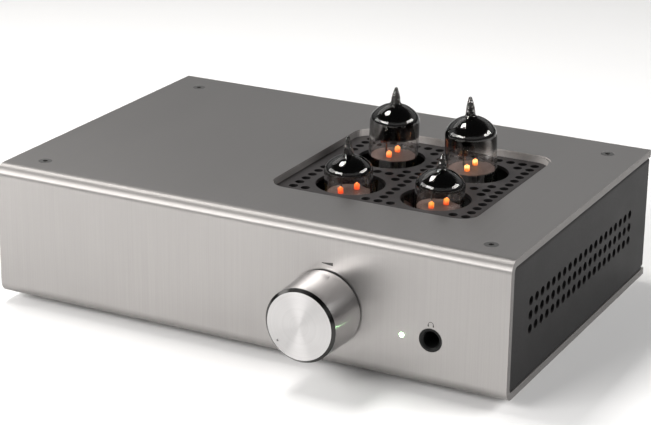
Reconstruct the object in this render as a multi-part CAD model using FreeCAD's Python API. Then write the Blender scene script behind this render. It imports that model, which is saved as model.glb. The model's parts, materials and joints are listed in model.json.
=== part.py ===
import FreeCAD, Part
import math
import os

# Valve headphone amplifier, millimetres. +X is to the right, +Y is to the rear, +Z is up.
# Origin: centre of the overall plan outline, on the surface that the feet stand on.

# ---- driving dimensions -------------------------------------------------------------------
CASE_W = 228.6          # 9 in
CASE_D = 152.4          # 6 in
CASE_H = 56.4           # without the feet
SHEET_T = 3.0           # aluminium wrap
BEND_R = 5.0            # outside radius of the wrap's two front bends
FOOT_H = 4.0
KNOB_GAP = 0.5          # knob to front face
KNOB_L = 20.6
KNOB_R = 15.6           # at its rear
RCA_REACH = 9.0         # connector barrels behind the case

# ---- derived levels -----------------------------------------------------------------------
FRONT_Y = (KNOB_GAP + KNOB_L - CASE_D - RCA_REACH) / 2
REAR_Y = FRONT_Y + CASE_D
BASE_Z = FOOT_H
FLOOR_Z = BASE_Z + SHEET_T
TOP_Z = BASE_Z + CASE_H
CEIL_Z = TOP_Z - SHEET_T

# ---- sheet steel --------------------------------------------------------------------------
STEEL_T = 1.5
STEEL_BEND_R = 2.0      # outside
SIDE_INSET = 0.4        # steel side behind the wrap's edge
FIT_GAP = 0.3           # steel clear of the wrap's inner faces
PANEL_INSET = 0.5       # rear panel in from the wrap's rear edge
SIDE_X = CASE_W / 2 - SIDE_INSET
PANEL_Y1 = REAR_Y - PANEL_INSET
PANEL_Y0 = PANEL_Y1 - STEEL_T
STEEL_Y0 = FRONT_Y + SHEET_T + FIT_GAP
FLANGE_L = 11.0         # inward flanges that take screws

# ---- valve window, plate and vents --------------------------------------------------------
VALVE_PITCH = 38.1
VALVE_CX = 38.1
VALVE_CY = FRONT_Y + 77.5
WINDOW_W = 89.6
WINDOW_D = 87.2
WINDOW_R = 8.5
WINDOW_EDGE = 0.5
VALVE_HOLE_R = 14.3
PERF_R = 1.9
PERF_PITCH = VALVE_PITCH / 7
PERF_SPAN = 7           # steps each way from the window's centre
PERF_CLEAR = 3.3 * PERF_PITCH
VENT_R = 1.9
VENT_PITCH = 5.72
VENT_COLUMNS = 20
VENT_ROWS = 3
VENT_Z = BASE_Z + CASE_H / 2

# ---- screws -------------------------------------------------------------------------------
SCREW_R = 1.5
SCREW_HEAD_R = 2.8
SCREW_HEAD_H = 1.5
SCREW_CLEAR = 0.1
CASE_SCREW_L = 6.5
PAN_HEAD_R = 2.9
PAN_HEAD_H = 1.8
PAN_EDGE = 0.6          # rounding of a pan head as a share of its height
SCREW_INSET = 14.3
SCREW_X = CASE_W / 2 - SCREW_INSET
TOP_SCREW_YS = (FRONT_Y + SCREW_INSET, REAR_Y - SCREW_INSET)
TAB_Y = 30.0            # bottom tabs, in from front and rear
TAB_W = 14.0
BOTTOM_SCREW_YS = (FRONT_Y + TAB_Y, REAR_Y - TAB_Y)
BOTTOM_SCREW_X = SIDE_X - 8.0
SOCKET_DEPTH = 1.0
HEX_ACROSS = 2.0
REAR_SCREW_L = 6.0
REAR_SCREW_LOW = 8.0    # above the wrap's floor
REAR_SCREW_HIGH = 10.0  # below the wrap's ceiling
PANEL_CORNER = 1.5
FLANGE_END = 2.0        # rear flanges start above the steel's lower edge
FLANGE_TOP = 4.0        # and stop below its top

# ---- feet ---------------------------------------------------------------------------------
FOOT_R = 8.0
FOOT_INSET = 24.0
FOOT_X = CASE_W / 2 - FOOT_INSET
FOOT_YS = (FRONT_Y + 20.0, REAR_Y - 20.0)
FOOT_TAPER = 1.0
FOOT_EDGE = 0.8
FOOT_POCKET_R = 3.2
FOOT_POCKET_H = 2.2
FOOT_SCREW_L = 6.8
FOOT_HEAD_R = 2.7
FOOT_HEAD_H = 1.6

# ---- circuit board ------------------------------------------------------------------------
BOARD_T = 1.6
BOARD_Z0 = FLOOR_Z + 5.0
BOARD_TOP = BOARD_Z0 + BOARD_T
BOARD_X = (-14.0, 104.0)
BOARD_Y = (FRONT_Y + 8.0, PANEL_Y0 - 4.0)
STANDOFF_R = 3.0
SCREW_APART = 0.1       # between the ends of the two screws in one standoff
LEG_OUT = 1.5           # legs and tails stand out under the board
SINK_W = 20.0
SINK_H = 22.0
SINK_T = 2.0
FIN_T = 1.0
FIN_L = 3.0
FIN_PITCH = 3.8
FIN_STEPS = (-2.5, -1.5, -0.5, 0.5, 1.5, 2.5)
DEVICE_W = 10.0
DEVICE_T = 4.5
DEVICE_Z = (3.0, 12.0)  # above the board
SINKS = ((82.0, 112.0), (12.0, 130.0))      # x, distance behind the front face
FILM_CAP = (18.0, 7.0, 12.0)
FILM_CAP_EDGE = 0.8
FILM_CAPS = ((16.0, 33.0), (58.0, 33.0), (19.05, 118.0), (57.15, 118.0))    # x, distance behind
CAN_EDGE = 0.8
# electrolytic capacitors: x, distance behind the front face, radius, height
CANS = ((-3.0, 28.0, 8.0, 32.0), (-3.0, 45.5, 8.0, 32.0), (-3.0, 105.0, 8.0, 32.0),
        (38.1, 77.5, 5.0, 20.0),
        (98.0, 62.0, 6.3, 25.0), (98.0, 79.0, 6.3, 25.0), (98.0, 96.0, 6.3, 25.0))
BOARD_HOLES = tuple((x, y) for x in (BOARD_X[0] + 5.0, BOARD_X[1] - 7.0)
                    for y in (BOARD_Y[0] + 5.0, BOARD_Y[1] - 24.0))

# ---- volume control -----------------------------------------------------------------------
POT_X = 38.1
POT_Z = BASE_Z + 23.6
SHAFT_R = 3.0
BUSH_R = 4.5
POT_SIZE = 20.0
POT_L = 16.0
POT_EDGE = 1.0
POT_LEGS = (-5.0, 0.0, 5.0)
POT_LEG_W = 1.0
POT_LEG_Y = (9.5, 10.1)     # behind the panel's inner face
SHAFT_TAIL = 9.5        # shaft behind the panel's inner face
BUSH_L = 3.2            # bushing in front of the panel
WASHER_PLATE_T = 0.5
NUT_R = 7.0
NUT_T = 2.0
RUN_GAP = 0.05          # radial running clearance of turning parts
HUB_DEPTH = 5.0         # knob's recess over the nut
HUB_R = 9.0
BORE_DEPTH = 14.0
KNOB_FRONT_R = 14.9
KNOB_CHAMFER = 1.2
KNOB_BACK_CHAMFER = 0.4
MARK_R = 0.5
MARK_AT = 11.7
MARK_ANGLE = 219.0      # rest direction of the knob's mark, from +X towards +Z
SET_SCREW_Y = 8.5       # from the knob's rear face
SET_SCREW_IN = 2.0      # its outer end below the knob's rim
SET_SCREW_FLAT = 0.4    # depth of the flat where it bears on the shaft
SET_SCREW_HEX = 1.5

# ---- jack and lamp ------------------------------------------------------------------------
JACK_X = 82.8
JACK_Z = BASE_Z + 19.4
JACK_NOSE_R = 4.7
JACK_BORE_R = 3.25
JACK_MOUTH = 0.7        # bevel round the bore
JACK_L = 34.0
JACK_W = 16.0
JACK_TOP = 8.0          # case above the jack's axis
JACK_EDGE = 0.8
JACK_END = 2.0          # closed end behind the bore
SPRINGS = ((16.0, -1), (23.0, 1), (27.0, -1))   # distance behind the front face, side
SPRING_OUT = 0.2        # springs lie this far outside the bore
SPRING_RISE = 1.2       # and end this far above its axis
SPRING_SLOT_X = (0.6, 1.6)  # slots reach this far inside and outside the bore
SPRING_SLOT_L = 3.0
SPRING_L = 2.0
SPRING_T = 0.5
LED_X = 70.8
LED_Z = BASE_Z + 19.25
LED_R = 1.1
LED_DOME = 0.55         # dome's centre behind the front face, as a share of its radius
LED_FLANGE_R = 1.6
LED_FLANGE_Y = (0.2, 1.4)   # behind the panel's inner face
LED_LEG_X = 1.27
LED_LEG_W = 0.5
LED_LEG_L = 8.6         # from the panel's inner face to the legs' rear side

# ---- valves -------------------------------------------------------------------------------
SEAT_Z = BASE_Z + 24.0  # underside of the glass
PIN_CIRCLE_R = 5.95
PIN_R = 0.5
PIN_L = 7.0
PINS = 9
PIN_STEP = 36.0         # degrees; nine pins on ten places
GLASS_T = 0.9
SEAT_GAP = 0.15
SOCKET_R = 10.5
SOCKET_HOLE_R = 0.8
CATHODE_APART = 8.2
CATHODE_R = 0.95
CATHODE_LOW = 6.4       # all heights here are above the seat, or above the upper mica
CATHODE_HIGH = 1.6
BEND_RISE = 0.9         # the heater's bare bend above its cathode sleeve
BEND_W = 0.5
HEATER_R = 0.25
PLATE_W = 6.6
PLATE_D = 6.8
PLATE_T = 0.35
PLATE_CORNER = 1.6
PLATE_LOW = 8.2
PLATE_GAP = 0.1         # plates below the upper mica
MICA_LOW = 7.6
MICA_T = 0.4
MICA_GAP = 0.25         # mica's edge to the glass
MICA_FLAT = (1.0, 2.2)  # depth and half width of the flats on its edge
GETTER_RING_R = 3.4
GETTER_WIRE_R = 0.45
GETTER_POST_R = 0.35
GETTER_BELOW = 8.5      # ring under the crown
SHOULDER_R = 5.0
DOME_R = 12.0           # spherical crown
FLARE_FROM = 3.4        # radius where the crown turns up into the tip
FLARE_MID = (2.53, 0.04)    # radius, height above the crown
FLARE_TO = (2.05, 0.93)
TIP_MID_R = 1.62
TIP_END_R = 0.75
GLASS_FOOT_R = 2.2
BUTTON_RATIO = 1.6      # glass button thickness over wall thickness
PIN_ABOVE = 1.2         # pins above the button, inside
PIN_CHAMFER = 0.25
SOCKET_EDGE = 0.8
SOCKET_CORE_R = 1.6
CONTACT_BELOW = 0.6     # sleeves start under the socket's top
TAIL_R = 0.4
LEAN_TOWARDS = 27.0     # degrees from +X towards +Y
# name, column, row, glass radius, crown height, tip length, upper mica, turn of the cathodes, lean
VALVES = (
    ("front_left", -1, -1, 10.0, 41.3, 7.9, 25.6, 63.0, -1.6),
    ("front_right", 1, -1, 10.1, 41.4, 6.4, 25.6, 67.0, 2.7),
    ("rear_left", -1, 1, 10.5, 53.0, 7.0, 30.5, 90.0, 1.3),
    ("rear_right", 1, 1, 10.8, 53.1, 8.2, 30.5, 90.0, -2.6),
)

# ---- rear connectors ----------------------------------------------------------------------
INLET_X = -76.0
INLET_Z = BASE_Z + 26.5
INLET_W = 28.0
INLET_H = 31.5
INLET_FLANGE_W = 50.0
INLET_FLANGE_H = 35.0
INLET_FLANGE_T = 3.0
INLET_L = 22.0
INLET_SCREW_X = 20.0
INLET_SCREW_L = 8.0
INLET_CORNER = 4.0
MOUTH_W = 24.2
MOUTH_H = 16.2
MOUTH_DEPTH = 16.5
MOUTH_DZ = -5.5
MOUTH_ROUND = 1.2       # lower corners
MOUTH_CUT = 4.2         # upper corners
BLADE_SPAN = 7.0
BLADE_RISE = 2.0        # middle blade up, outer ones down
BLADE_W = 2.0
BLADE_H = 4.0
BLADE_EDGE = 0.3
BLADE_IN = 5.0          # blades' ends inside the mouth
BLADE_TAG_L = 8.0       # and behind the body
DRAWER_W = 24.0
DRAWER_H = 8.0
DRAWER_L = 16.0
DRAWER_LIP = 1.2
DRAWER_FLOOR = 1.0
DRAWER_DZ = 10.0
DRAWER_GAP = 0.3
DRAWER_EDGE = 0.6
DRAWER_NOTCH = (9.0, 2.4, 0.8)  # width, height and depth of the finger notch
FUSE_R = 2.6
FUSE_L = 20.0
FUSE_TUBE_R = 2.4
FUSE_CAP_L = 5.5
FUSE_ROOM = 0.3
SWITCH_X = -36.0
SWITCH_Z = BASE_Z + 26.5
ROCKER_R = 8.6
ROCKER_W = 9.0
ROCKER_TILT = 11.0
ROCKER_RISE = 3.0
ROCKER_BACK = 2.6
ROCKER_PIN_R = 1.2
ROCKER_PIN_L = 1.3
ROCKER_GAP = 0.4
SWITCH_LIP = 2.0
SWITCH_DEPTH = 15.0
SWITCH_AXIS_IN = 1.6    # rocker's axis behind the panel's face
SWITCH_WELL = 5.0       # and the well's floor behind the axis
BEZEL_T = 1.8
BEZEL_LIP = 1.2
BEZEL_CORNER = 1.5
SWITCH_TAG_L = 8.0
SWITCH_TAG_W = 4.8
SWITCH_TAG_T = 0.8
SWITCH_TAG_DZ = 6.0
GAIN_X = 2.0
GAIN_Z = BASE_Z + 26.5
GAIN_TRAVEL = 4.0
GAIN_STEM_W = 3.6
GAIN_STEM_H = 3.6
GAIN_STEM_REACH = 3.5
GAIN_STEM_IN = 3.6      # stem behind the panel
GAIN_PANEL_GAP = 0.4
GAIN_SLOT_GAP = 0.25
GAIN_SLOT_DEPTH = 4.0
GAIN_H = 7.0
GAIN_PLATE = (23.0, 0.8)    # width, thickness
GAIN_CASE = (14.0, 8.0)     # width, depth
GAIN_LEGS = (-3.0, 0.0, 3.0)
GAIN_LEG = (1.0, 0.6, 3.0)  # width, thickness, length
GAIN_GROOVES = (-1.0, 0.0, 1.0)
GAIN_GROOVE_W = 0.4
GAIN_GROOVE_DEPTH = 0.5
GAIN_SCREW_X = 9.5
GAIN_SCREW_R = 1.25
GAIN_SCREW_L = 4.0
GAIN_HEAD_R = 2.2
GAIN_HEAD_H = 1.3
GAIN_HOLE_DEPTH = 2.0
RCA_XS = (36.0, 52.0, 72.0, 88.0)
RCA_Z = BASE_Z + 26.5
RCA_R = 4.15
RCA_INNER_R = 3.4
RCA_CONTACT_R = 2.1
RCA_PIN_HOLE_R = 1.62
RCA_PIN_DEPTH = 10.0
RCA_COLLAR = (6.0, 2.0)     # radius, thickness
RCA_NUT = (11.0, 2.2)       # across flats, thickness
RCA_SHELL_IN = 6.0          # shell, insulator and solder tail behind the panel
RCA_CORE_IN = 7.0
RCA_TAIL_IN = 11.0
RCA_TAIL_R = 0.8
RCA_SET_BACK = 1.0          # insulator in from the shell's end
RCA_EDGE = 0.3

# ---- power transformer --------------------------------------------------------------------
TOROID_X = -66.0
TOROID_Y = FRONT_Y + 60.0
TOROID_R = 40.0
TOROID_HOLE_R = 13.0
TOROID_H = 34.0
TOROID_EDGE = 6.0
PAD_T = 1.5
LOW_PAD_R = 36.0
TOP_PAD_R = 28.0
PAD_CLEAR = 0.5
WASHER_R = 27.0
WASHER_T = 1.2
BOLT_R = 3.0
BOLT_IN = 0.5           # bolt's end inside the wrap's bottom
BOLT_OVER = 4.5         # and above the washer
BOLT_NUT = (10.0, 3.0)  # across flats, thickness
LOW_NUT_T = 2.5
LEAD_R = 0.9
LEAD_BEND = 3.5
LEAD_TURN = 8.0         # straight run behind a tag before a lead turns
INLET_LEAD_TURN = 12.0
SWITCH_LEAD_DROP = 14.0     # behind the winding
SWITCH_LEAD_END = 9.0   # to the left of the switch
LEAD_ENTRY = 60.0       # where a lead meets the winding, degrees from +X
LEAD_CLEAR = 0.6        # lead's end clear of the winding
MAINS_LEAD_Z = BOARD_TOP + 4.0
BOARD_LEAD_Z = MAINS_LEAD_Z + 12.0
BOARD_LEADS = (-5.0, 0.0, 5.0)

AXIS_X = FreeCAD.Vector(1, 0, 0)
AXIS_Y = FreeCAD.Vector(0, 1, 0)
AXIS_Z = FreeCAD.Vector(0, 0, 1)
EPS = 1.0               # cutters run past the faces they open


# ---- helpers ------------------------------------------------------------------------------
def point(x, y, z):
    return FreeCAD.Vector(x, y, z)


def block(x, y, z):
    """Box from (low, high) pairs."""
    return Part.makeBox(x[1] - x[0], y[1] - y[0], z[1] - z[0], point(x[0], y[0], z[0]))


def centred(cx, width, y, cz, height):
    """Box centred in X and Z, between two Y values."""
    return block((cx - width / 2, cx + width / 2), y, (cz - height / 2, cz + height / 2))


def rod(radius, length, at, axis=AXIS_Z):
    return Part.makeCylinder(radius, length, at, axis)


def along_y(radius, x, z, y0, y1):
    return rod(radius, y1 - y0, point(x, y0, z), AXIS_Y)


def joined(shapes):
    """One solid from touching or overlapping shapes."""
    result = shapes[0]
    if len(shapes) > 1:
        result = shapes[0].fuse(shapes[1:])
    return result.removeSplitter()


def group(shapes):
    """Separate solids of one node."""
    return Part.makeCompound(shapes)


def prism(points, vector):
    wire = Part.makePolygon(points + [points[0]])
    return Part.Face(wire).extrude(vector)


def revolved(outline, at):
    """Solid of revolution about +Z from (radius, height) points, arcs given as middle points."""
    edges = []
    last = outline[0]
    for step in outline[1:]:
        a = point(last[0], 0, last[1])
        if len(step) == 4:
            b = point(step[2], 0, step[3])
            edges.append(Part.Arc(a, point(step[0], 0, step[1]), b).toShape())
            last = (step[2], step[3])
        else:
            b = point(step[0], 0, step[1])
            edges.append(Part.LineSegment(a, b).toShape())
            last = step
    a = point(last[0], 0, last[1])
    b = point(outline[0][0], 0, outline[0][1])
    if (a - b).Length > 0.001:
        edges.append(Part.LineSegment(a, b).toShape())
    solid = Part.Face(Part.Wire(edges)).revolve(point(0, 0, 0), AXIS_Z, 360)
    return moved(solid, at)


def moved(shape, vector):
    copy = shape.copy()
    copy.translate(vector)
    return copy


def turned(shape, at, axis, angle):
    copy = shape.copy()
    copy.rotate(at, axis, angle)
    return copy


def rounded(shape, radius, direction, keep=None):
    """Fillet the straight edges that run along a direction."""
    picked = []
    for edge in shape.Edges:
        if edge.Curve.TypeId != "Part::GeomLine":
            continue
        if abs(abs(edge.Curve.Direction.dot(direction)) - 1) > 0.001:
            continue
        if keep is None or keep(edge.CenterOfMass):
            picked.append(edge)
    return shape.makeFillet(radius, picked)


def hexagon(across, depth, at, axis):
    """Hexagonal prism for screw sockets and nuts, starting at a point and running along an axis."""
    corner = across / math.sqrt(3)
    ring = [point(corner * math.cos(math.radians(60 * i)), corner * math.sin(math.radians(60 * i)), 0)
            for i in range(6)]
    solid = prism(ring, point(0, 0, depth))
    solid.Placement = FreeCAD.Placement(at, FreeCAD.Rotation(AXIS_Z, axis))
    return solid


def flat_screw(at, down, length):
    """Countersunk screw with a hexagon socket, its head's top at a point, running along down."""
    shank = rod(SCREW_R, length, at, down)
    head = Part.makeCone(SCREW_HEAD_R, SCREW_R, SCREW_HEAD_H, at, down)
    socket = hexagon(HEX_ACROSS, SOCKET_DEPTH + EPS, at - down * EPS, down)
    return joined([shank, head]).cut(socket)


def flat_screw_hole(at, down, depth):
    """Countersink and clearance hole for a flat screw whose head lies level with the face."""
    sink_r = SCREW_HEAD_R + SCREW_CLEAR
    sink = Part.makeCone(sink_r, SCREW_R + SCREW_CLEAR, SCREW_HEAD_H, at, down)
    lip = rod(sink_r, EPS, at - down * EPS, down)
    hole = rod(SCREW_R + SCREW_CLEAR, depth, at, down)
    return joined([sink, lip, hole])


def pan_screw(at, inward, length, radius=SCREW_R, head_r=PAN_HEAD_R, head_h=PAN_HEAD_H):
    """Domed-head screw; the head stands on the face at a point, and the shank runs inward."""
    shank = rod(radius, length, at, inward)
    head = rod(head_r, head_h, at - inward * head_h, inward)
    rim = [edge for edge in head.Edges if edge.Curve.TypeId == "Part::GeomCircle"
           and (edge.Curve.Center - (at - inward * head_h)).Length < 0.01]
    head = head.makeFillet(head_h * PAN_EDGE, rim)
    socket = hexagon(HEX_ACROSS, SOCKET_DEPTH + EPS, at - inward * (head_h + EPS), inward)
    return joined([shank, head]).cut(socket)


def valve_centre(column, row):
    return VALVE_CX + column * VALVE_PITCH / 2, VALVE_CY + row * VALVE_PITCH / 2


# ---- case ---------------------------------------------------------------------------------
def outer_wrap():
    half = CASE_W / 2
    body = block((-half, half), (FRONT_Y, REAR_Y), (BASE_Z, TOP_Z))
    body = rounded(body, BEND_R, AXIS_X, lambda c: c.y < FRONT_Y + EPS)
    hollow = block((-half - EPS, half + EPS), (FRONT_Y + SHEET_T, REAR_Y + EPS), (FLOOR_Z, CEIL_Z))
    hollow = rounded(hollow, BEND_R - SHEET_T, AXIS_X, lambda c: c.y < FRONT_Y + SHEET_T + EPS)
    wrap = body.cut(hollow)
    cutters = [window_cutter()]
    for x in (-SCREW_X, SCREW_X):
        for y in TOP_SCREW_YS:
            cutters.append(flat_screw_hole(point(x, y, TOP_Z), -AXIS_Z, SHEET_T + EPS))
    for x in (-BOTTOM_SCREW_X, BOTTOM_SCREW_X):
        for y in BOTTOM_SCREW_YS:
            cutters.append(flat_screw_hole(point(x, y, BASE_Z), AXIS_Z, SHEET_T + EPS))
    for x in (-FOOT_X, FOOT_X):
        for y in FOOT_YS:
            cutters.append(rod(SCREW_R, SHEET_T + 2 * EPS, point(x, y, BASE_Z - EPS)))
    cutters.append(rod(BOLT_R, SHEET_T + 2 * EPS, point(TOROID_X, TOROID_Y, BASE_Z - EPS)))
    for x, y in BOARD_HOLES:
        cutters.append(flat_screw_hole(point(x, y, BASE_Z), AXIS_Z, SHEET_T + EPS))
    back = FRONT_Y + SHEET_T + EPS
    cutters.append(along_y(BUSH_R, POT_X, POT_Z, FRONT_Y - EPS, back))
    cutters.append(along_y(LED_R, LED_X, LED_Z, FRONT_Y - EPS, back))
    cutters.append(along_y(JACK_NOSE_R + SCREW_CLEAR, JACK_X, JACK_Z, FRONT_Y - EPS, back))
    return wrap.cut(cutters)


def window_cutter():
    x = (VALVE_CX - WINDOW_W / 2, VALVE_CX + WINDOW_W / 2)
    y = (VALVE_CY - WINDOW_D / 2, VALVE_CY + WINDOW_D / 2)
    straight = rounded(block(x, y, (CEIL_Z - EPS, TOP_Z)), WINDOW_R, AXIS_Z)
    top_edges = [edge for edge in straight.Edges if abs(edge.BoundBox.ZMin - TOP_Z) < 0.01]
    top_face = Part.Face(Part.Wire(Part.__sortEdges__(top_edges)))
    bevel = top_face.extrude(point(0, 0, -WINDOW_EDGE))
    wide = bevel.copy()
    scale = FreeCAD.Matrix()
    scale.scale(1 + 2 * WINDOW_EDGE / WINDOW_W, 1 + 2 * WINDOW_EDGE / WINDOW_D, 1)
    wide = wide.transformGeometry(scale)
    return joined([straight, wide])


def inner_chassis():
    x = (-SIDE_X, SIDE_X)
    y = (STEEL_Y0, PANEL_Y0)
    shell = block(x, y, (FLOOR_Z + FIT_GAP, CEIL_Z))
    shell = rounded(shell, STEEL_BEND_R, AXIS_Y, lambda c: c.z > VENT_Z)
    inner_x = (-SIDE_X + STEEL_T, SIDE_X - STEEL_T)
    room = block(inner_x, (STEEL_Y0 - EPS, PANEL_Y0 + EPS), (BASE_Z, CEIL_Z - STEEL_T))
    shell = shell.cut(rounded(room, STEEL_BEND_R - STEEL_T, AXIS_Y, lambda c: c.z > VENT_Z))
    outline = block((x[0] - EPS, x[1] + EPS), y, (FLOOR_Z, CEIL_Z))
    outline = rounded(outline, BEND_R - SHEET_T, AXIS_X, lambda c: c.y < STEEL_Y0 + EPS)
    parts = [shell.common(outline)]
    rear_z = (FLOOR_Z + FIT_GAP + FLANGE_END, CEIL_Z - STEEL_T - FLANGE_TOP)
    for side in (-1, 1):
        wall = sorted((side * (SIDE_X - STEEL_T / 2), side * (SIDE_X - STEEL_T - FLANGE_L)))
        parts.append(block(wall, (PANEL_Y0 - STEEL_T, PANEL_Y0), rear_z))
        for tab_y in BOTTOM_SCREW_YS:
            tab = block(sorted((side * SIDE_X, side * (SIDE_X - STEEL_T - FLANGE_L))),
                        (tab_y - TAB_W / 2, tab_y + TAB_W / 2), (FLOOR_Z, FLOOR_Z + STEEL_T))
            parts.append(tab)
    return joined(parts).cut(chassis_cutters())


def chassis_cutters():
    cutters = []
    depth = STEEL_T + 2 * EPS
    low = CEIL_Z - STEEL_T - EPS
    for column in (-1, 1):
        for row in (-1, 1):
            x, y = valve_centre(column, row)
            cutters.append(rod(VALVE_HOLE_R, depth, point(x, y, low)))
    for i in range(-PERF_SPAN, PERF_SPAN + 1):
        for j in range(-PERF_SPAN, PERF_SPAN + 1):
            dx = (abs(i) - PERF_SPAN / 2) * PERF_PITCH
            dy = (abs(j) - PERF_SPAN / 2) * PERF_PITCH
            if math.hypot(dx, dy) > PERF_CLEAR:
                at = point(VALVE_CX + i * PERF_PITCH, VALVE_CY + j * PERF_PITCH, low)
                cutters.append(rod(PERF_R, depth, at))
    for column in range(VENT_COLUMNS):
        y = (FRONT_Y + REAR_Y) / 2 + (column - (VENT_COLUMNS - 1) / 2) * VENT_PITCH
        for row in range(VENT_ROWS):
            z = VENT_Z + (row - (VENT_ROWS - 1) / 2) * VENT_PITCH
            cutters.append(rod(VENT_R, depth, point(-SIDE_X - EPS, y, z), AXIS_X))
            cutters.append(rod(VENT_R, depth, point(SIDE_X - STEEL_T - EPS, y, z), AXIS_X))
    for x in (-SCREW_X, SCREW_X):
        for y in TOP_SCREW_YS:
            cutters.append(rod(SCREW_R, depth, point(x, y, low)))
    for x in (-BOTTOM_SCREW_X, BOTTOM_SCREW_X):
        for y in BOTTOM_SCREW_YS:
            cutters.append(rod(SCREW_R, depth, point(x, y, FLOOR_Z - EPS)))
    for x, z in rear_screw_places():
        cutters.append(along_y(SCREW_R, x, z, PANEL_Y0 - STEEL_T - EPS, PANEL_Y0 + EPS))
    return cutters


def rear_screw_places():
    x = SIDE_X - STEEL_T - FLANGE_L / 2
    levels = (FLOOR_Z + REAR_SCREW_LOW, CEIL_Z - REAR_SCREW_HIGH)
    return [(side * x, z) for side in (-1, 1) for z in levels]


def rear_panel():
    x = (-SIDE_X, SIDE_X)
    z = (FLOOR_Z + FIT_GAP, CEIL_Z - FIT_GAP)
    panel = rounded(block(x, (PANEL_Y0, PANEL_Y1), z), PANEL_CORNER, AXIS_Y)
    through = (PANEL_Y0 - EPS, PANEL_Y1 + EPS)
    cutters = [centred(INLET_X, INLET_W, through, INLET_Z, INLET_H)]
    cutters.append(centred(SWITCH_X, switch_width(), through, SWITCH_Z, switch_height()))
    slot_w = GAIN_STEM_W + GAIN_TRAVEL + 2 * GAIN_PANEL_GAP
    cutters.append(centred(GAIN_X, slot_w, through, GAIN_Z, GAIN_STEM_H + 2 * GAIN_PANEL_GAP))
    for side in (-1, 1):
        cutters.append(along_y(SCREW_R, INLET_X + side * INLET_SCREW_X, INLET_Z, *through))
        cutters.append(along_y(GAIN_SCREW_R, GAIN_X + side * GAIN_SCREW_X, GAIN_Z, *through))
    for x in RCA_XS:
        cutters.append(along_y(RCA_R, x, RCA_Z, *through))
    for x, z in rear_screw_places():
        cutters.append(along_y(SCREW_R + SCREW_CLEAR, x, z, *through))
    return panel.cut(cutters)


def case_screws():
    """Four through the wrap's top and four through its bottom, all into the steel chassis."""
    top = [flat_screw(point(x, y, TOP_Z), -AXIS_Z, CASE_SCREW_L)
           for x in (-SCREW_X, SCREW_X) for y in TOP_SCREW_YS]
    bottom = [flat_screw(point(x, y, BASE_Z), AXIS_Z, CASE_SCREW_L)
              for x in (-BOTTOM_SCREW_X, BOTTOM_SCREW_X) for y in BOTTOM_SCREW_YS]
    return group(top + bottom)


def rear_panel_screws():
    places = rear_screw_places()
    return group([pan_screw(point(x, PANEL_Y1, z), -AXIS_Y, REAR_SCREW_L) for x, z in places])


def feet():
    made = []
    for x in (-FOOT_X, FOOT_X):
        for y in FOOT_YS:
            foot = Part.makeCone(FOOT_R - FOOT_TAPER, FOOT_R, FOOT_H, point(x, y, 0), AXIS_Z)
            edge = [e for e in foot.Edges if e.BoundBox.ZMax < 0.01]
            foot = foot.makeFillet(FOOT_EDGE, edge)
            hole = rod(SCREW_R, FOOT_H + EPS, point(x, y, 0))
            pocket = rod(FOOT_POCKET_R, FOOT_POCKET_H + EPS, point(x, y, -EPS))
            made.append(foot.cut([hole, pocket]))
    return group(made)


def foot_screws():
    made = []
    for x in (-FOOT_X, FOOT_X):
        for y in FOOT_YS:
            at = point(x, y, FOOT_POCKET_H)
            made.append(pan_screw(at, AXIS_Z, FOOT_SCREW_L, head_r=FOOT_HEAD_R, head_h=FOOT_HEAD_H))
    return group(made)


# ---- volume control -----------------------------------------------------------------------
def pot_body():
    back = FRONT_Y + SHEET_T
    case = centred(POT_X, POT_SIZE, (back, back + POT_L), POT_Z, POT_SIZE)
    case = rounded(case, POT_EDGE, AXIS_Y)
    bush = along_y(BUSH_R, POT_X, POT_Z, FRONT_Y - BUSH_L, back)
    legs = pot_legs((BOARD_Z0 - LEG_OUT, POT_Z - POT_SIZE / 2 + EPS))
    end = back + SHAFT_TAIL + KNOB_GAP
    bore = along_y(SHAFT_R + RUN_GAP, POT_X, POT_Z, FRONT_Y - BUSH_L - EPS, end)
    return joined([case, bush] + legs).cut(bore)


def pot_legs(z):
    """The three legs between two levels, and so the slots they pass through."""
    back = FRONT_Y + SHEET_T
    y = (back + POT_LEG_Y[0], back + POT_LEG_Y[1])
    half = POT_LEG_W / 2
    return [block((POT_X + dx - half, POT_X + dx + half), y, z) for dx in POT_LEGS]


def pot_nut():
    front = FRONT_Y - WASHER_PLATE_T
    washer = along_y(NUT_R, POT_X, POT_Z, front, FRONT_Y)
    nut = hexagon(2 * NUT_R * math.cos(math.radians(30)), NUT_T, point(POT_X, front, POT_Z), -AXIS_Y)
    hole = along_y(BUSH_R, POT_X, POT_Z, front - NUT_T - EPS, FRONT_Y + EPS)
    return joined([washer, nut]).cut(hole)


def pot_shaft():
    tip = FRONT_Y - KNOB_GAP - BORE_DEPTH
    return along_y(SHAFT_R, POT_X, POT_Z, tip, FRONT_Y + SHEET_T + SHAFT_TAIL)


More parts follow.
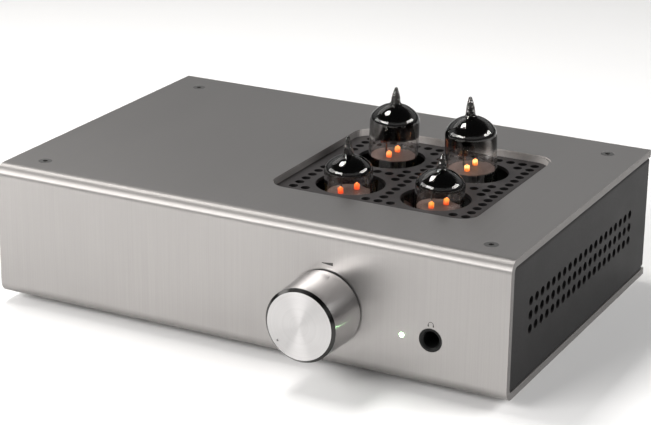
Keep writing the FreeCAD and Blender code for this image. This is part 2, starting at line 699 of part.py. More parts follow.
def volume_knob():
    rear = FRONT_Y - KNOB_GAP
    body = Part.makeCone(KNOB_FRONT_R, KNOB_R, KNOB_L, point(POT_X, rear - KNOB_L, POT_Z), AXIS_Y)
    rim = [e for e in body.Edges if abs(e.BoundBox.YMax - (rear - KNOB_L)) < 0.01]
    body = body.makeChamfer(KNOB_CHAMFER, rim)
    rim = [e for e in body.Edges if abs(e.BoundBox.YMin - rear) < 0.01]
    body = body.makeChamfer(KNOB_BACK_CHAMFER, rim)
    bore = along_y(SHAFT_R, POT_X, POT_Z, rear - BORE_DEPTH, rear + EPS)
    recess = along_y(HUB_R, POT_X, POT_Z, rear - HUB_DEPTH, rear + EPS)
    angle = math.radians(MARK_ANGLE)
    mark_x = POT_X + MARK_AT * math.cos(angle)
    mark_z = POT_Z + MARK_AT * math.sin(angle)
    mark = Part.makeSphere(MARK_R, point(mark_x, rear - KNOB_L, mark_z))
    screw_hole = rod(SCREW_R, KNOB_R, point(POT_X, rear - SET_SCREW_Y, POT_Z), -AXIS_Z)
    return body.cut([bore, recess, mark, screw_hole])


def knob_set_screw():
    y = FRONT_Y - KNOB_GAP - SET_SCREW_Y
    start = point(POT_X, y, POT_Z - SHAFT_R)
    length = KNOB_R - SHAFT_R - SET_SCREW_IN
    body = rod(SCREW_R, length, start, -AXIS_Z)
    wide = 2 * SCREW_R + 2 * EPS
    flat = centred(POT_X, wide, (y - wide / 2, y + wide / 2), start.z, 2 * SET_SCREW_FLAT)
    socket = hexagon(SET_SCREW_HEX, SET_SCREW_IN, start - AXIS_Z * length, AXIS_Z)
    return body.cut([flat, socket])


# ---- front connectors ---------------------------------------------------------------------
def power_led():
    back = FRONT_Y + SHEET_T
    flange_y = (back + LED_FLANGE_Y[0], back + LED_FLANGE_Y[1])
    lens = along_y(LED_R, LED_X, LED_Z, FRONT_Y, flange_y[0])
    dome = Part.makeSphere(LED_R, point(LED_X, FRONT_Y + LED_R * LED_DOME, LED_Z))
    dome = dome.common(centred(LED_X, 4 * LED_R, (FRONT_Y - LED_R, FRONT_Y), LED_Z, 4 * LED_R))
    flange = along_y(LED_FLANGE_R, LED_X, LED_Z, *flange_y)
    legs = led_legs((BOARD_Z0 - LEG_OUT, LED_Z))
    for side in (-1, 1):
        x = LED_X + side * LED_LEG_X
        legs.append(centred(x, LED_LEG_W, (flange_y[1], back + LED_LEG_L), LED_Z, LED_LEG_W))
    return joined([lens, dome, flange] + legs)


def led_legs(z):
    """The two legs' upright ends between two levels, and so the holes they pass through."""
    y1 = FRONT_Y + SHEET_T + LED_LEG_L
    half = LED_LEG_W / 2
    return [block((LED_X + dx - half, LED_X + dx + half), (y1 - LED_LEG_W, y1), z)
            for dx in (-LED_LEG_X, LED_LEG_X)]


def headphone_jack():
    back = FRONT_Y + SHEET_T
    end = FRONT_Y + JACK_L
    case = block((JACK_X - JACK_W / 2, JACK_X + JACK_W / 2), (back, end), (BOARD_TOP, JACK_Z + JACK_TOP))
    case = rounded(case, JACK_EDGE, AXIS_Y)
    nose = along_y(JACK_NOSE_R, JACK_X, JACK_Z, FRONT_Y, back)
    bore = along_y(JACK_BORE_R, JACK_X, JACK_Z, FRONT_Y - EPS, end - JACK_END)
    wide = JACK_BORE_R + JACK_MOUTH
    mouth = Part.makeCone(wide, JACK_BORE_R, JACK_MOUTH, point(JACK_X, FRONT_Y, JACK_Z), AXIS_Y)
    return joined([case, nose]).cut([bore, mouth] + jack_slots())


def jack_slots():
    """Room for each spring to move, open to the bore and to the board."""
    slots = []
    for depth, side in SPRINGS:
        near = JACK_BORE_R - SPRING_SLOT_X[0]
        far = JACK_BORE_R + SPRING_SLOT_X[1]
        x = sorted((JACK_X + side * near, JACK_X + side * far))
        y = (FRONT_Y + depth, FRONT_Y + depth + SPRING_SLOT_L)
        slots.append(block(x, y, (BOARD_TOP - EPS, JACK_Z + JACK_BORE_R / 2)))
    return slots


def springs(z):
    """The jack's three contact springs between two levels."""
    made = []
    room = (SPRING_SLOT_L - SPRING_L) / 2
    for depth, side in SPRINGS:
        near = JACK_X + side * (JACK_BORE_R + SPRING_OUT)
        x = sorted((near, near + side * SPRING_T))
        y = (FRONT_Y + depth + room, FRONT_Y + depth + room + SPRING_L)
        made.append(block(x, y, z))
    return made


def jack_contacts():
    return group(springs((BOARD_Z0 - LEG_OUT, JACK_Z + SPRING_RISE)))


# ---- valves -------------------------------------------------------------------------------
def pin_places(cx, cy):
    places = []
    for i in range(PINS):
        angle = math.radians(-90 + PIN_STEP * (i + 1))
        places.append((cx + PIN_CIRCLE_R * math.cos(angle), cy + PIN_CIRCLE_R * math.sin(angle)))
    return places


def dome_turn(radius):
    """Angle above level at which the shoulder runs into the spherical crown."""
    return math.acos((radius - SHOULDER_R) / (DOME_R - SHOULDER_R))


def wall_top(radius, crown):
    """Where the straight wall ends and the shoulder starts."""
    return crown - DOME_R + (DOME_R - SHOULDER_R) * math.sin(dome_turn(radius))


def arc_step(cx, cz, radius, middle, end):
    """Outline step along a circle, from its middle and end angles above level."""
    return (cx + radius * math.cos(middle), cz + radius * math.sin(middle),
            cx + radius * math.cos(end), cz + radius * math.sin(end))


def glass_outline(radius, crown, tip, inset):
    """Half outline of the bulb, set in by a wall: button, wall, shoulder, crown and drawn tip."""
    r = radius - inset
    base = inset * BUTTON_RATIO
    turn = dome_turn(radius)
    shoulder = wall_top(radius, crown)
    foot = GLASS_FOOT_R
    outline = [(0, base), (r - foot, base)]
    outline.append(arc_step(r - foot, base + foot, foot, math.radians(-45), 0))
    outline.append((r, shoulder))
    outline.append(arc_step(radius - SHOULDER_R, shoulder, SHOULDER_R - inset, turn / 2, turn))
    if inset:
        over = math.radians(90)
        outline.append(arc_step(0, crown - DOME_R, DOME_R - inset, (turn + over) / 2, over))
        return outline
    over = math.acos(FLARE_FROM / DOME_R)
    outline.append(arc_step(0, crown - DOME_R, DOME_R, (turn + over) / 2, over))
    foot_z = crown + FLARE_TO[1]
    cap = crown + tip - TIP_END_R
    outline.append((FLARE_MID[0], crown + FLARE_MID[1], FLARE_TO[0], foot_z))
    outline.append((TIP_MID_R, (foot_z + cap) / 2, TIP_END_R, cap))
    outline.append(arc_step(0, cap, TIP_END_R, math.radians(45), math.radians(90)))
    return outline


def leaning(shape, cx, cy, radius, lean):
    """Tilt what the bulb holds about the seat, and lift it so that its foot stays clear."""
    across = point(-math.sin(math.radians(LEAN_TOWARDS)), math.cos(math.radians(LEAN_TOWARDS)), 0)
    tilted = turned(shape, point(cx, cy, SEAT_Z), across, lean)
    return moved(tilted, point(0, 0, radius * math.sin(math.radians(abs(lean)))))


def valve_glass(cx, cy, radius, crown, tip, lean):
    at = point(cx, cy, SEAT_Z + SEAT_GAP)
    outer = revolved(glass_outline(radius, crown, tip, 0), at)
    inner = revolved(glass_outline(radius, crown, tip, GLASS_T), at)
    bulb = leaning(outer.cut(inner), cx, cy, radius, lean)
    return bulb.cut([rod(PIN_R, PIN_L, point(x, y, SEAT_Z - PIN_L / 2)) for x, y in pin_places(cx, cy)])


def valve_pins(cx, cy):
    """The pins stay upright in the socket, however the bulb stands."""
    low = SEAT_Z + SEAT_GAP - PIN_L
    high = SEAT_Z + SEAT_GAP + GLASS_T * BUTTON_RATIO + PIN_ABOVE
    made = []
    for x, y in pin_places(cx, cy):
        pin = rod(PIN_R, high - low, point(x, y, low))
        end = [e for e in pin.Edges if e.BoundBox.ZMax < low + 0.01]
        made.append(pin.makeChamfer(PIN_CHAMFER, end))
    return group(made)


def cathode_places(cx, cy, angle):
    dx = CATHODE_APART / 2 * math.cos(math.radians(angle))
    dy = CATHODE_APART / 2 * math.sin(math.radians(angle))
    return [(cx - dx, cy - dy), (cx + dx, cy + dy)]


def valve_plates(cx, cy, crown, mica, angle):
    """Two anode boxes between the micas, and the getter ring on its post under the dome."""
    low = SEAT_Z + PLATE_LOW
    high = SEAT_Z + mica - PLATE_GAP
    middle = (low + high) / 2
    made = []
    for x, y in cathode_places(cx, cy, angle):
        half = PLATE_D / 2
        outer = centred(x, PLATE_W, (y - half, y + half), middle, high - low)
        outer = rounded(outer, PLATE_CORNER, AXIS_Z)
        half -= PLATE_T
        inner = centred(x, PLATE_W - 2 * PLATE_T, (y - half, y + half), middle, high - low + 2 * EPS)
        inner = rounded(inner, PLATE_CORNER - PLATE_T, AXIS_Z)
        made.append(turned(outer.cut(inner), point(x, y, 0), AXIS_Z, angle - 90))
    ring_z = SEAT_Z + crown - GETTER_BELOW
    getter = Part.makeTorus(GETTER_RING_R, GETTER_WIRE_R, point(cx, cy, ring_z), AXIS_Z)
    foot = SEAT_Z + mica + MICA_T
    post = rod(GETTER_POST_R, ring_z - foot, point(cx - GETTER_RING_R, cy, foot))
    made.append(joined([getter, post]))
    return group(made)


def valve_micas(cx, cy, radius, mica, angle):
    reach = radius - GLASS_T
    deep, half = MICA_FLAT
    made = []
    for z in (SEAT_Z + MICA_LOW, SEAT_Z + mica):
        disc = rod(reach - MICA_GAP, MICA_T, point(cx, cy, z))
        through = MICA_T + 2 * EPS
        cutters = [rod(CATHODE_R, through, point(x, y, z - EPS)) for x, y in cathode_places(cx, cy, angle)]
        for side in (-1, 1):
            x = cx + side * reach
            tooth = block((x - deep, x + deep), (cy - half, cy + half), (z - EPS, z + through))
            cutters.append(turned(tooth, point(cx, cy, 0), AXIS_Z, angle))
        made.append(disc.cut(cutters))
    return group(made)


def valve_heaters(cx, cy, mica, angle):
    """Cathode sleeves through both micas, each with the bare heater's bend standing out on top."""
    low = SEAT_Z + CATHODE_LOW
    high = SEAT_Z + mica + CATHODE_HIGH
    made = []
    for x, y in cathode_places(cx, cy, angle):
        shapes = [rod(CATHODE_R, high - low, point(x, y, low))]
        shapes.append(Part.makeTorus(BEND_W, HEATER_R, point(x, y, high + BEND_RISE), AXIS_X))
        for side in (-1, 1):
            shapes.append(rod(HEATER_R, BEND_RISE, point(x, y + side * BEND_W, high)))
        made.append(joined(shapes))
    return group(made)


def valve_nodes(name, column, row, radius, crown, tip, mica, angle, lean):
    cx, cy = valve_centre(column, row)
    held = {
        "plates": valve_plates(cx, cy, crown, mica, angle),
        "micas": valve_micas(cx, cy, radius, mica, angle),
        "heaters": valve_heaters(cx, cy, mica, angle),
    }
    made = {
        "valve_" + name + "_glass": valve_glass(cx, cy, radius, crown, tip, lean),
        "valve_" + name + "_pins": valve_pins(cx, cy),
    }
    for kind, shape in held.items():
        made["valve_" + name + "_" + kind] = leaning(shape, cx, cy, radius, lean)
    return made


def all_valve_centres():
    return [valve_centre(column, row) for column in (-1, 1) for row in (-1, 1)]


def valve_sockets():
    made = []
    tall = SEAT_Z - BOARD_TOP
    for cx, cy in all_valve_centres():
        body = rod(SOCKET_R, tall, point(cx, cy, BOARD_TOP))
        top = [e for e in body.Edges if abs(e.BoundBox.ZMin - SEAT_Z) < 0.01]
        body = body.makeChamfer(SOCKET_EDGE, top)
        low = BOARD_TOP - EPS
        cutters = [rod(SOCKET_CORE_R, tall + 2 * EPS, point(cx, cy, low))]
        for x, y in pin_places(cx, cy):
            cutters.append(rod(SOCKET_HOLE_R, tall + 2 * EPS, point(x, y, low)))
        made.append(body.cut(cutters))
    return group(made)


def socket_contacts():
    made = []
    top = SEAT_Z - CONTACT_BELOW
    for cx, cy in all_valve_centres():
        for x, y in pin_places(cx, cy):
            sleeve = rod(SOCKET_HOLE_R, top - BOARD_TOP, point(x, y, BOARD_TOP))
            hole = rod(PIN_R + RUN_GAP, PIN_L + EPS, point(x, y, top - PIN_L))
            tail = rod(TAIL_R, BOARD_T + LEG_OUT, point(x, y, BOARD_Z0 - LEG_OUT))
            made.append(joined([sleeve.cut(hole), tail]))
    return group(made)


# ---- rear connectors ----------------------------------------------------------------------
def inlet_body():
    front = PANEL_Y1 + INLET_FLANGE_T
    back = PANEL_Y1 - INLET_L
    flange = centred(INLET_X, INLET_FLANGE_W, (PANEL_Y1, front), INLET_Z, INLET_FLANGE_H)
    flange = rounded(flange, INLET_CORNER, AXIS_Y)
    body = centred(INLET_X, INLET_W, (back, PANEL_Y1), INLET_Z, INLET_H)
    drawer_w = DRAWER_W + 2 * DRAWER_GAP
    drawer_y = (front - DRAWER_L - DRAWER_GAP, front + EPS)
    drawer_z = INLET_Z + DRAWER_DZ
    cutters = [inlet_mouth()]
    cutters.append(centred(INLET_X, drawer_w, drawer_y, drawer_z, DRAWER_H + 2 * DRAWER_GAP))
    for x, z in blade_places():
        cutters.append(centred(x, BLADE_W, (back - EPS, front - MOUTH_DEPTH + EPS), z, BLADE_H))
    for side in (-1, 1):
        x = INLET_X + side * INLET_SCREW_X
        cutters.append(flat_screw_hole(point(x, front, INLET_Z), -AXIS_Y, INLET_FLANGE_T + EPS))
    return joined([flange, body]).cut(cutters)


def inlet_mouth():
    """The plug's opening: rounded below, with its two upper corners cut off."""
    front = PANEL_Y1 + INLET_FLANGE_T
    z = INLET_Z + MOUTH_DZ
    mouth = centred(INLET_X, MOUTH_W, (front - MOUTH_DEPTH, front + EPS), z, MOUTH_H)
    mouth = rounded(mouth, MOUTH_ROUND, AXIS_Y, lambda c: c.z < z)
    top = z + MOUTH_H / 2 - EPS
    edges = [e for e in mouth.Edges if e.Curve.TypeId == "Part::GeomLine" and e.CenterOfMass.z > top
             and abs(abs(e.Curve.Direction.y) - 1) < 0.001]
    return mouth.makeChamfer(MOUTH_CUT, edges)


def blade_places():
    z = INLET_Z + MOUTH_DZ
    low = z - BLADE_RISE
    return ((INLET_X - BLADE_SPAN, low), (INLET_X + BLADE_SPAN, low), (INLET_X, z + BLADE_RISE))


def blade_end():
    """Rear end of the inlet's blades inside the case."""
    return PANEL_Y1 - INLET_L - BLADE_TAG_L


def inlet_blades():
    y = (blade_end(), PANEL_Y1 + INLET_FLANGE_T - BLADE_IN)
    blades = [centred(x, BLADE_W, y, z, BLADE_H) for x, z in blade_places()]
    return group([rounded(blade, BLADE_EDGE, AXIS_Y) for blade in blades])


def connector_screws():
    """Two flat screws for the inlet's flange and two small pan screws for the gain switch."""
    front = PANEL_Y1 + INLET_FLANGE_T
    made = []
    for side in (-1, 1):
        at = point(INLET_X + side * INLET_SCREW_X, front, INLET_Z)
        made.append(flat_screw(at, -AXIS_Y, INLET_SCREW_L))
        at = point(GAIN_X + side * GAIN_SCREW_X, PANEL_Y1, GAIN_Z)
        made.append(pan_screw(at, -AXIS_Y, GAIN_SCREW_L, GAIN_SCREW_R, GAIN_HEAD_R, GAIN_HEAD_H))
    return group(made)


def drawer_floor():
    return INLET_Z + DRAWER_DZ - DRAWER_H / 2 + DRAWER_FLOOR


def fuse_y():
    return PANEL_Y1 + INLET_FLANGE_T - DRAWER_L / 2


def fuse_drawer():
    front = PANEL_Y1 + INLET_FLANGE_T
    z = INLET_Z + DRAWER_DZ
    body = centred(INLET_X, DRAWER_W, (front - DRAWER_L, front + DRAWER_LIP), z, DRAWER_H)
    body = rounded(body, DRAWER_EDGE, AXIS_Y)
    half_l = FUSE_L / 2 + FUSE_ROOM
    half_w = FUSE_R + FUSE_ROOM
    tray = block((INLET_X - half_l, INLET_X + half_l), (fuse_y() - half_w, fuse_y() + half_w),
                 (drawer_floor(), z + DRAWER_H))
    wide, tall, deep = DRAWER_NOTCH
    lip = front + DRAWER_LIP
    notch = centred(INLET_X, wide, (lip - deep, lip + EPS), z - DRAWER_H / 2, tall)
    return body.cut([tray, notch])


def fuse():
    """Glass cartridge with a metal cap at each end."""
    at = point(INLET_X - FUSE_L / 2, fuse_y(), drawer_floor() + FUSE_R)
    tube = rod(FUSE_TUBE_R, FUSE_L, at, AXIS_X)
    caps = [rod(FUSE_R, FUSE_CAP_L, point(x, at.y, at.z), AXIS_X)
            for x in (at.x, at.x + FUSE_L - FUSE_CAP_L)]
    return joined([tube] + caps)


def switch_width():
    return ROCKER_W + 2 * SWITCH_LIP


def switch_height():
    return 2 * ROCKER_R + 2 * SWITCH_LIP


def rocker_axis():
    return point(SWITCH_X, PANEL_Y1 - SWITCH_AXIS_IN, SWITCH_Z)


def power_switch_body():
    axis = rocker_axis()
    front = PANEL_Y1 + BEZEL_T
    wide = switch_width()
    tall = switch_height()
    bezel = centred(SWITCH_X, wide + 2 * BEZEL_LIP, (PANEL_Y1, front), SWITCH_Z, tall + 2 * BEZEL_LIP)
    bezel = rounded(bezel, BEZEL_CORNER, AXIS_Y)
    back = PANEL_Y1 - SWITCH_DEPTH
    body = centred(SWITCH_X, wide, (back, PANEL_Y1), SWITCH_Z, tall)
    well = centred(SWITCH_X, ROCKER_W + 2 * ROCKER_GAP, (axis.y - SWITCH_WELL, front + EPS), SWITCH_Z,
                   2 * (ROCKER_R + ROCKER_GAP))
    reach = ROCKER_W / 2 + ROCKER_PIN_L + ROCKER_GAP / 2
    pivot = rod(ROCKER_PIN_R + RUN_GAP, 2 * reach, point(SWITCH_X - reach, axis.y, axis.z), AXIS_X)
    tag_y = (back - SWITCH_TAG_L, back)
    tags = [centred(SWITCH_X, SWITCH_TAG_W, tag_y, SWITCH_Z + dz, SWITCH_TAG_T)
            for dz in (-SWITCH_TAG_DZ, 0.0, SWITCH_TAG_DZ)]
    return joined([bezel, body] + tags).cut([well, pivot])


def power_rocker():
    """Rocker with a shallow V face and round ends about its pivot; at rest one half is pressed in."""
    axis = rocker_axis()
    left = SWITCH_X - ROCKER_W / 2
    drum = rod(ROCKER_R, ROCKER_W, point(left, axis.y, axis.z), AXIS_X)
    peak = ROCKER_RISE + ROCKER_R * math.tan(math.radians(ROCKER_TILT))
    side = [(-ROCKER_BACK, -ROCKER_R), (-ROCKER_BACK, ROCKER_R), (peak, ROCKER_R), (ROCKER_RISE, 0),
            (peak, -ROCKER_R)]
    wedge = prism([point(left, axis.y + y, axis.z + z) for y, z in side], point(ROCKER_W, 0, 0))
    pin_l = ROCKER_W + 2 * ROCKER_PIN_L
    pin = rod(ROCKER_PIN_R, pin_l, point(left - ROCKER_PIN_L, axis.y, axis.z), AXIS_X)
    return turned(joined([drum.common(wedge), pin]), axis, AXIS_X, ROCKER_TILT)


def gain_switch_body():
    plate_w, plate_t = GAIN_PLATE
    case_w, case_d = GAIN_CASE
    leg_w, leg_t, leg_l = GAIN_LEG
    front = PANEL_Y0
    back = front - case_d
    plate = centred(GAIN_X, plate_w, (front - plate_t, front), GAIN_Z, GAIN_H)
    case = centred(GAIN_X, case_w, (back, front - plate_t), GAIN_Z, GAIN_H)
    legs = [centred(GAIN_X + dx, leg_w, (back - leg_l, back), GAIN_Z, leg_t) for dx in GAIN_LEGS]
    slot_w = GAIN_STEM_W + GAIN_TRAVEL + 2 * GAIN_SLOT_GAP
    slot_y = (front - GAIN_SLOT_DEPTH, front + EPS)
    cutters = [centred(GAIN_X, slot_w, slot_y, GAIN_Z, GAIN_STEM_H + 2 * GAIN_SLOT_GAP)]
    for side in (-1, 1):
        x = GAIN_X + side * GAIN_SCREW_X
        cutters.append(along_y(GAIN_SCREW_R, x, GAIN_Z, front - GAIN_HOLE_DEPTH, front + EPS))
    return joined([plate, case] + legs).cut(cutters)


def gain_slider():
    """Stem at the left end of its travel, with finger grooves across its end."""
    x = GAIN_X - GAIN_TRAVEL / 2
    end = PANEL_Y1 + GAIN_STEM_REACH
    stem = centred(x, GAIN_STEM_W, (PANEL_Y0 - GAIN_STEM_IN, end), GAIN_Z, GAIN_STEM_H)
    groove_y = (end - GAIN_GROOVE_DEPTH, end + EPS)
    return stem.cut([centred(x + dx, GAIN_GROOVE_W, groove_y, GAIN_Z, 2 * GAIN_STEM_H)
                     for dx in GAIN_GROOVES])


def rca_shells():
    made = []
    back = PANEL_Y0 - RCA_SHELL_IN
    end = REAR_Y + RCA_REACH
    for x in RCA_XS:
        barrel = along_y(RCA_R, x, RCA_Z, back, end)
        collar = along_y(RCA_COLLAR[0], x, RCA_Z, PANEL_Y1, PANEL_Y1 + RCA_COLLAR[1])
        nut = hexagon(RCA_NUT[0], RCA_NUT[1], point(x, PANEL_Y0, RCA_Z), -AXIS_Y)
        bore = along_y(RCA_INNER_R, x, RCA_Z, back - EPS, end + EPS)
        shell = joined([barrel, collar, nut]).cut(bore)
        rim = [e for e in shell.Edges if abs(e.BoundBox.YMin - end) < 0.01
               and e.Length > math.pi * (RCA_R + RCA_INNER_R)]
        made.append(shell.makeChamfer(RCA_EDGE, rim))
    return group(made)


def rca_insulators(places):
    front = REAR_Y + RCA_REACH - RCA_SET_BACK
    back = PANEL_Y0 - RCA_CORE_IN
    made = []
    for x in places:
        core = along_y(RCA_INNER_R, x, RCA_Z, back, front)
        made.append(core.cut(along_y(RCA_CONTACT_R, x, RCA_Z, back - EPS, front + EPS)))
    return group(made)


def rca_contacts():
    front = REAR_Y + RCA_REACH - RCA_SET_BACK
    back = PANEL_Y0 - RCA_CORE_IN
    made = []
    for x in RCA_XS:
        tube = along_y(RCA_CONTACT_R, x, RCA_Z, back, front)
        hole = along_y(RCA_PIN_HOLE_R, x, RCA_Z, front - RCA_PIN_DEPTH, front + EPS)
        tail = along_y(RCA_TAIL_R, x, RCA_Z, PANEL_Y0 - RCA_TAIL_IN, back)
        made.append(joined([tube, tail]).cut(hole))
    return group(made)


# ---- board and what stands on it ----------------------------------------------------------
def main_board():
    """Board with holes for its screws and slots for every leg that passes through it."""
    z = (BOARD_Z0 - EPS, BOARD_TOP + EPS)
    deep = z[1] - z[0]
    cutters = [rod(SCREW_R + SCREW_CLEAR, deep, point(x, y, z[0])) for x, y in BOARD_HOLES]
    for cx, cy in all_valve_centres():
        cutters += [rod(TAIL_R, deep, point(x, y, z[0])) for x, y in pin_places(cx, cy)]
    cutters += pot_legs(z) + led_legs(z) + springs(z)
    return block(BOARD_X, BOARD_Y, (BOARD_Z0, BOARD_TOP)).cut(cutters)


def board_standoffs():
    made = []
    tall = BOARD_Z0 - FLOOR_Z
    for x, y in BOARD_HOLES:
        post = rod(STANDOFF_R, tall, point(x, y, FLOOR_Z))
        made.append(post.cut(rod(SCREW_R, tall + 2 * EPS, point(x, y, FLOOR_Z - EPS))))
    return group(made)


def board_screws():
    """Flat screws up through the wrap, and pan screws down through the board, into each standoff."""
    made = []
    half = (BOARD_Z0 - FLOOR_Z) / 2 - SCREW_APART
    for x, y in BOARD_HOLES:
        made.append(flat_screw(point(x, y, BASE_Z), AXIS_Z, SHEET_T + half))
        made.append(pan_screw(point(x, y, BOARD_TOP), -AXIS_Z, BOARD_T + half))
    return group(made)


def electrolytic_capacitors():
    made = []
    for x, depth, radius, height in CANS:
        can = rod(radius, height, point(x, FRONT_Y + depth, BOARD_TOP))
        rims = [e for e in can.Edges if e.Curve.TypeId == "Part::GeomCircle"]
        made.append(can.makeFillet(CAN_EDGE, rims))
    return group(made)


def film_capacitors():
    wide, deep, tall = FILM_CAP
    made = []
    for x, depth in FILM_CAPS:
        y = FRONT_Y + depth
        box = centred(x, wide, (y - deep / 2, y + deep / 2), BOARD_TOP + tall / 2, tall)
        made.append(rounded(box, FILM_CAP_EDGE, AXIS_Z))
    return group(made)


def regulators_and_sinks():
    """Two finned sinks on the board, each with its power device held flat against it."""
    made = []
    tall = (BOARD_TOP, BOARD_TOP + SINK_H)
    device_z = (BOARD_TOP + DEVICE_Z[0], BOARD_TOP + DEVICE_Z[1])
    for x, depth in SINKS:
        front = FRONT_Y + depth - SINK_T / 2
        back = front + SINK_T
        base = block((x - SINK_W / 2, x + SINK_W / 2), (front, back), tall)
        fins = []
        for step in FIN_STEPS:
            fin_x = x + step * FIN_PITCH
            fins.append(block((fin_x - FIN_T / 2, fin_x + FIN_T / 2), (back, back + FIN_L), tall))
        made.append(joined([base] + fins))
        made.append(block((x - DEVICE_W / 2, x + DEVICE_W / 2), (front - DEVICE_T, front), device_z))
    return group(made)


# ---- transformer --------------------------------------------------------------------------
def ring(outer, inner, height, z):
    at = point(TOROID_X, TOROID_Y, z)
    return rod(outer, height, at).cut(rod(inner, height, at))


def toroid_z():
    return FLOOR_Z + PAD_T


def transformer_winding():
    body = ring(TOROID_R, TOROID_HOLE_R, TOROID_H, toroid_z())
    return body.makeFillet(TOROID_EDGE, [e for e in body.Edges if e.Curve.TypeId == "Part::GeomCircle"])


def transformer_pads():
    hole = BOLT_R + PAD_CLEAR
    top = toroid_z() + TOROID_H
    return group([ring(LOW_PAD_R, hole, PAD_T, FLOOR_Z), ring(TOP_PAD_R, hole, PAD_T, top)])


def transformer_fixings():
    """Pressed washer, and the long bolt with its two nuts, through the wrap's bottom."""
    under = toroid_z() + TOROID_H + PAD_T
    top = under + WASHER_T
    low = BASE_Z + BOLT_IN
    across, thick = BOLT_NUT
    washer = ring(WASHER_R, BOLT_R, WASHER_T, under)
    shank = rod(BOLT_R, top + BOLT_OVER - low, point(TOROID_X, TOROID_Y, low))
    nut = hexagon(across, thick, point(TOROID_X, TOROID_Y, top), AXIS_Z)
    low_nut = hexagon(across, LOW_NUT_T, point(TOROID_X, TOROID_Y, toroid_z()), AXIS_Z)
    return group([washer, joined([shank, nut, low_nut])])


# ---- wiring -------------------------------------------------------------------------------
def lead(points):
    """Round insulated lead along straight runs joined by tangent arcs."""
    edges = []
    start = points[0]
    for before, corner, after in zip(points, points[1:], points[2:]):
        u = (before - corner).normalize()
        v = (after - corner).normalize()
        half = u.getAngle(v) / 2
        run = LEAD_BEND / math.tan(half)
        inner = (u + v).normalize()
        centre = corner + inner * (LEAD_BEND / math.sin(half))
        first = corner + u * run
        last = corner + v * run
        edges.append(Part.LineSegment(start, first).toShape())
        edges.append(Part.Arc(first, centre - inner * LEAD_BEND, last).toShape())
        start = last
    edges.append(Part.LineSegment(start, points[-1]).toShape())
    path = Part.Wire(edges)
    section = Part.Wire(Part.makeCircle(LEAD_R, points[0], points[1] - points[0]))
    return path.makePipeShell([section], True, False)


def mains_leads():
    """Inlet to switch, inlet to the transformer, and switch to the transformer."""
    live, neutral = blade_places()[:2]
    blade_y = blade_end()
    tag_y = PANEL_Y1 - SWITCH_DEPTH - SWITCH_TAG_L
    low_tag = SWITCH_Z - SWITCH_TAG_DZ
    high_tag = SWITCH_Z + SWITCH_TAG_DZ
    side_y = TOROID_Y + TOROID_R * math.sin(math.radians(LEAD_ENTRY))
    to_switch = [point(neutral[0], blade_y, neutral[1]),
                 point(neutral[0], blade_y - LEAD_TURN, neutral[1]),
                 point(SWITCH_X, blade_y - LEAD_TURN, low_tag),
                 point(SWITCH_X, tag_y, low_tag)]
    turn_y = blade_y - INLET_LEAD_TURN
    from_inlet = [point(live[0], blade_y, live[1]),
                  point(live[0], turn_y, live[1]),
                  point(live[0], turn_y, MAINS_LEAD_Z),
                  point(live[0] + LEAD_TURN, TOROID_Y + TOROID_R, MAINS_LEAD_Z)]
    drop_y = side_y + SWITCH_LEAD_DROP
    level = MAINS_LEAD_Z + 2 * LEAD_BEND
    from_switch = [point(SWITCH_X, tag_y, high_tag),
                   point(SWITCH_X, drop_y, high_tag),
                   point(SWITCH_X - LEAD_BEND / 2, drop_y, level),
                   point(SWITCH_X - SWITCH_LEAD_END, side_y + LEAD_CLEAR, level)]
    return [to_switch, from_inlet, from_switch]


def board_leads():
    """Three leads over from the transformer, turning down onto the board."""
    start = TOROID_X + TOROID_R + LEAD_CLEAR
    end = BOARD_X[0] + 4.0
    made = []
    for dy in BOARD_LEADS:
        y = TOROID_Y + dy
        made.append([point(start, y, BOARD_LEAD_Z), point(end, y, BOARD_LEAD_Z), point(end, y, BOARD_TOP)])
    return made


def power_wiring():
    return group([lead(points) for points in mains_leads() + board_leads()])


# ---- write --------------------------------------------------------------------------------
def nodes():
    made = {
        "outer_wrap": outer_wrap(),
        "inner_chassis": inner_chassis(),
        "rear_panel": rear_panel(),
        "case_screws": case_screws(),
        "rear_panel_screws": rear_panel_screws(),
        "feet": feet(),
        "foot_screws": foot_screws(),
        "pot_body": pot_body(),
        "pot_nut": pot_nut(),
        "pot_shaft": pot_shaft(),
        "volume_knob": volume_knob(),
        "knob_set_screw": knob_set_screw(),
        "power_led": power_led(),
        "headphone_jack": headphone_jack(),
        "jack_contacts": jack_contacts(),
        "valve_sockets": valve_sockets(),
        "socket_contacts": socket_contacts(),
        "inlet_body": inlet_body(),
        "inlet_blades": inlet_blades(),
        "connector_screws": connector_screws(),
        "fuse_drawer": fuse_drawer(),
        "fuse": fuse(),
        "power_switch_body": power_switch_body(),
        "power_rocker": power_rocker(),
        "gain_switch_body": gain_switch_body(),
        "gain_slider": gain_slider(),
        "rca_shells": rca_shells(),
        "rca_insulators_white": rca_insulators(RCA_XS[0::2]),
        "rca_insulators_red": rca_insulators(RCA_XS[1::2]),
        "rca_contacts": rca_contacts(),
        "main_board": main_board(),
        "board_standoffs": board_standoffs(),
        "board_screws": board_screws(),
        "electrolytic_capacitors": electrolytic_capacitors(),
        "film_capacitors": film_capacitors(),
        "regulators_and_sinks": regulators_and_sinks(),
        "transformer_winding": transformer_winding(),
        "transformer_pads": transformer_pads(),
        "transformer_fixings": transformer_fixings(),
        "power_wiring": power_wiring(),
    }
    for valve in VALVES:
        made.update(valve_nodes(*valve))
    return made


os.makedirs("parts", exist_ok=True)
for name, shape in nodes().items():
    shape.exportStep(os.path.join("parts", name + ".step"))
    print(name, len(shape.Solids), round(shape.Volume, 1), shape.isValid())
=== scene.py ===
"""Valve headphone amplifier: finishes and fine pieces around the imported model, in metres."""

import json
import math

import bmesh
import bpy
from mathutils import Matrix, Vector

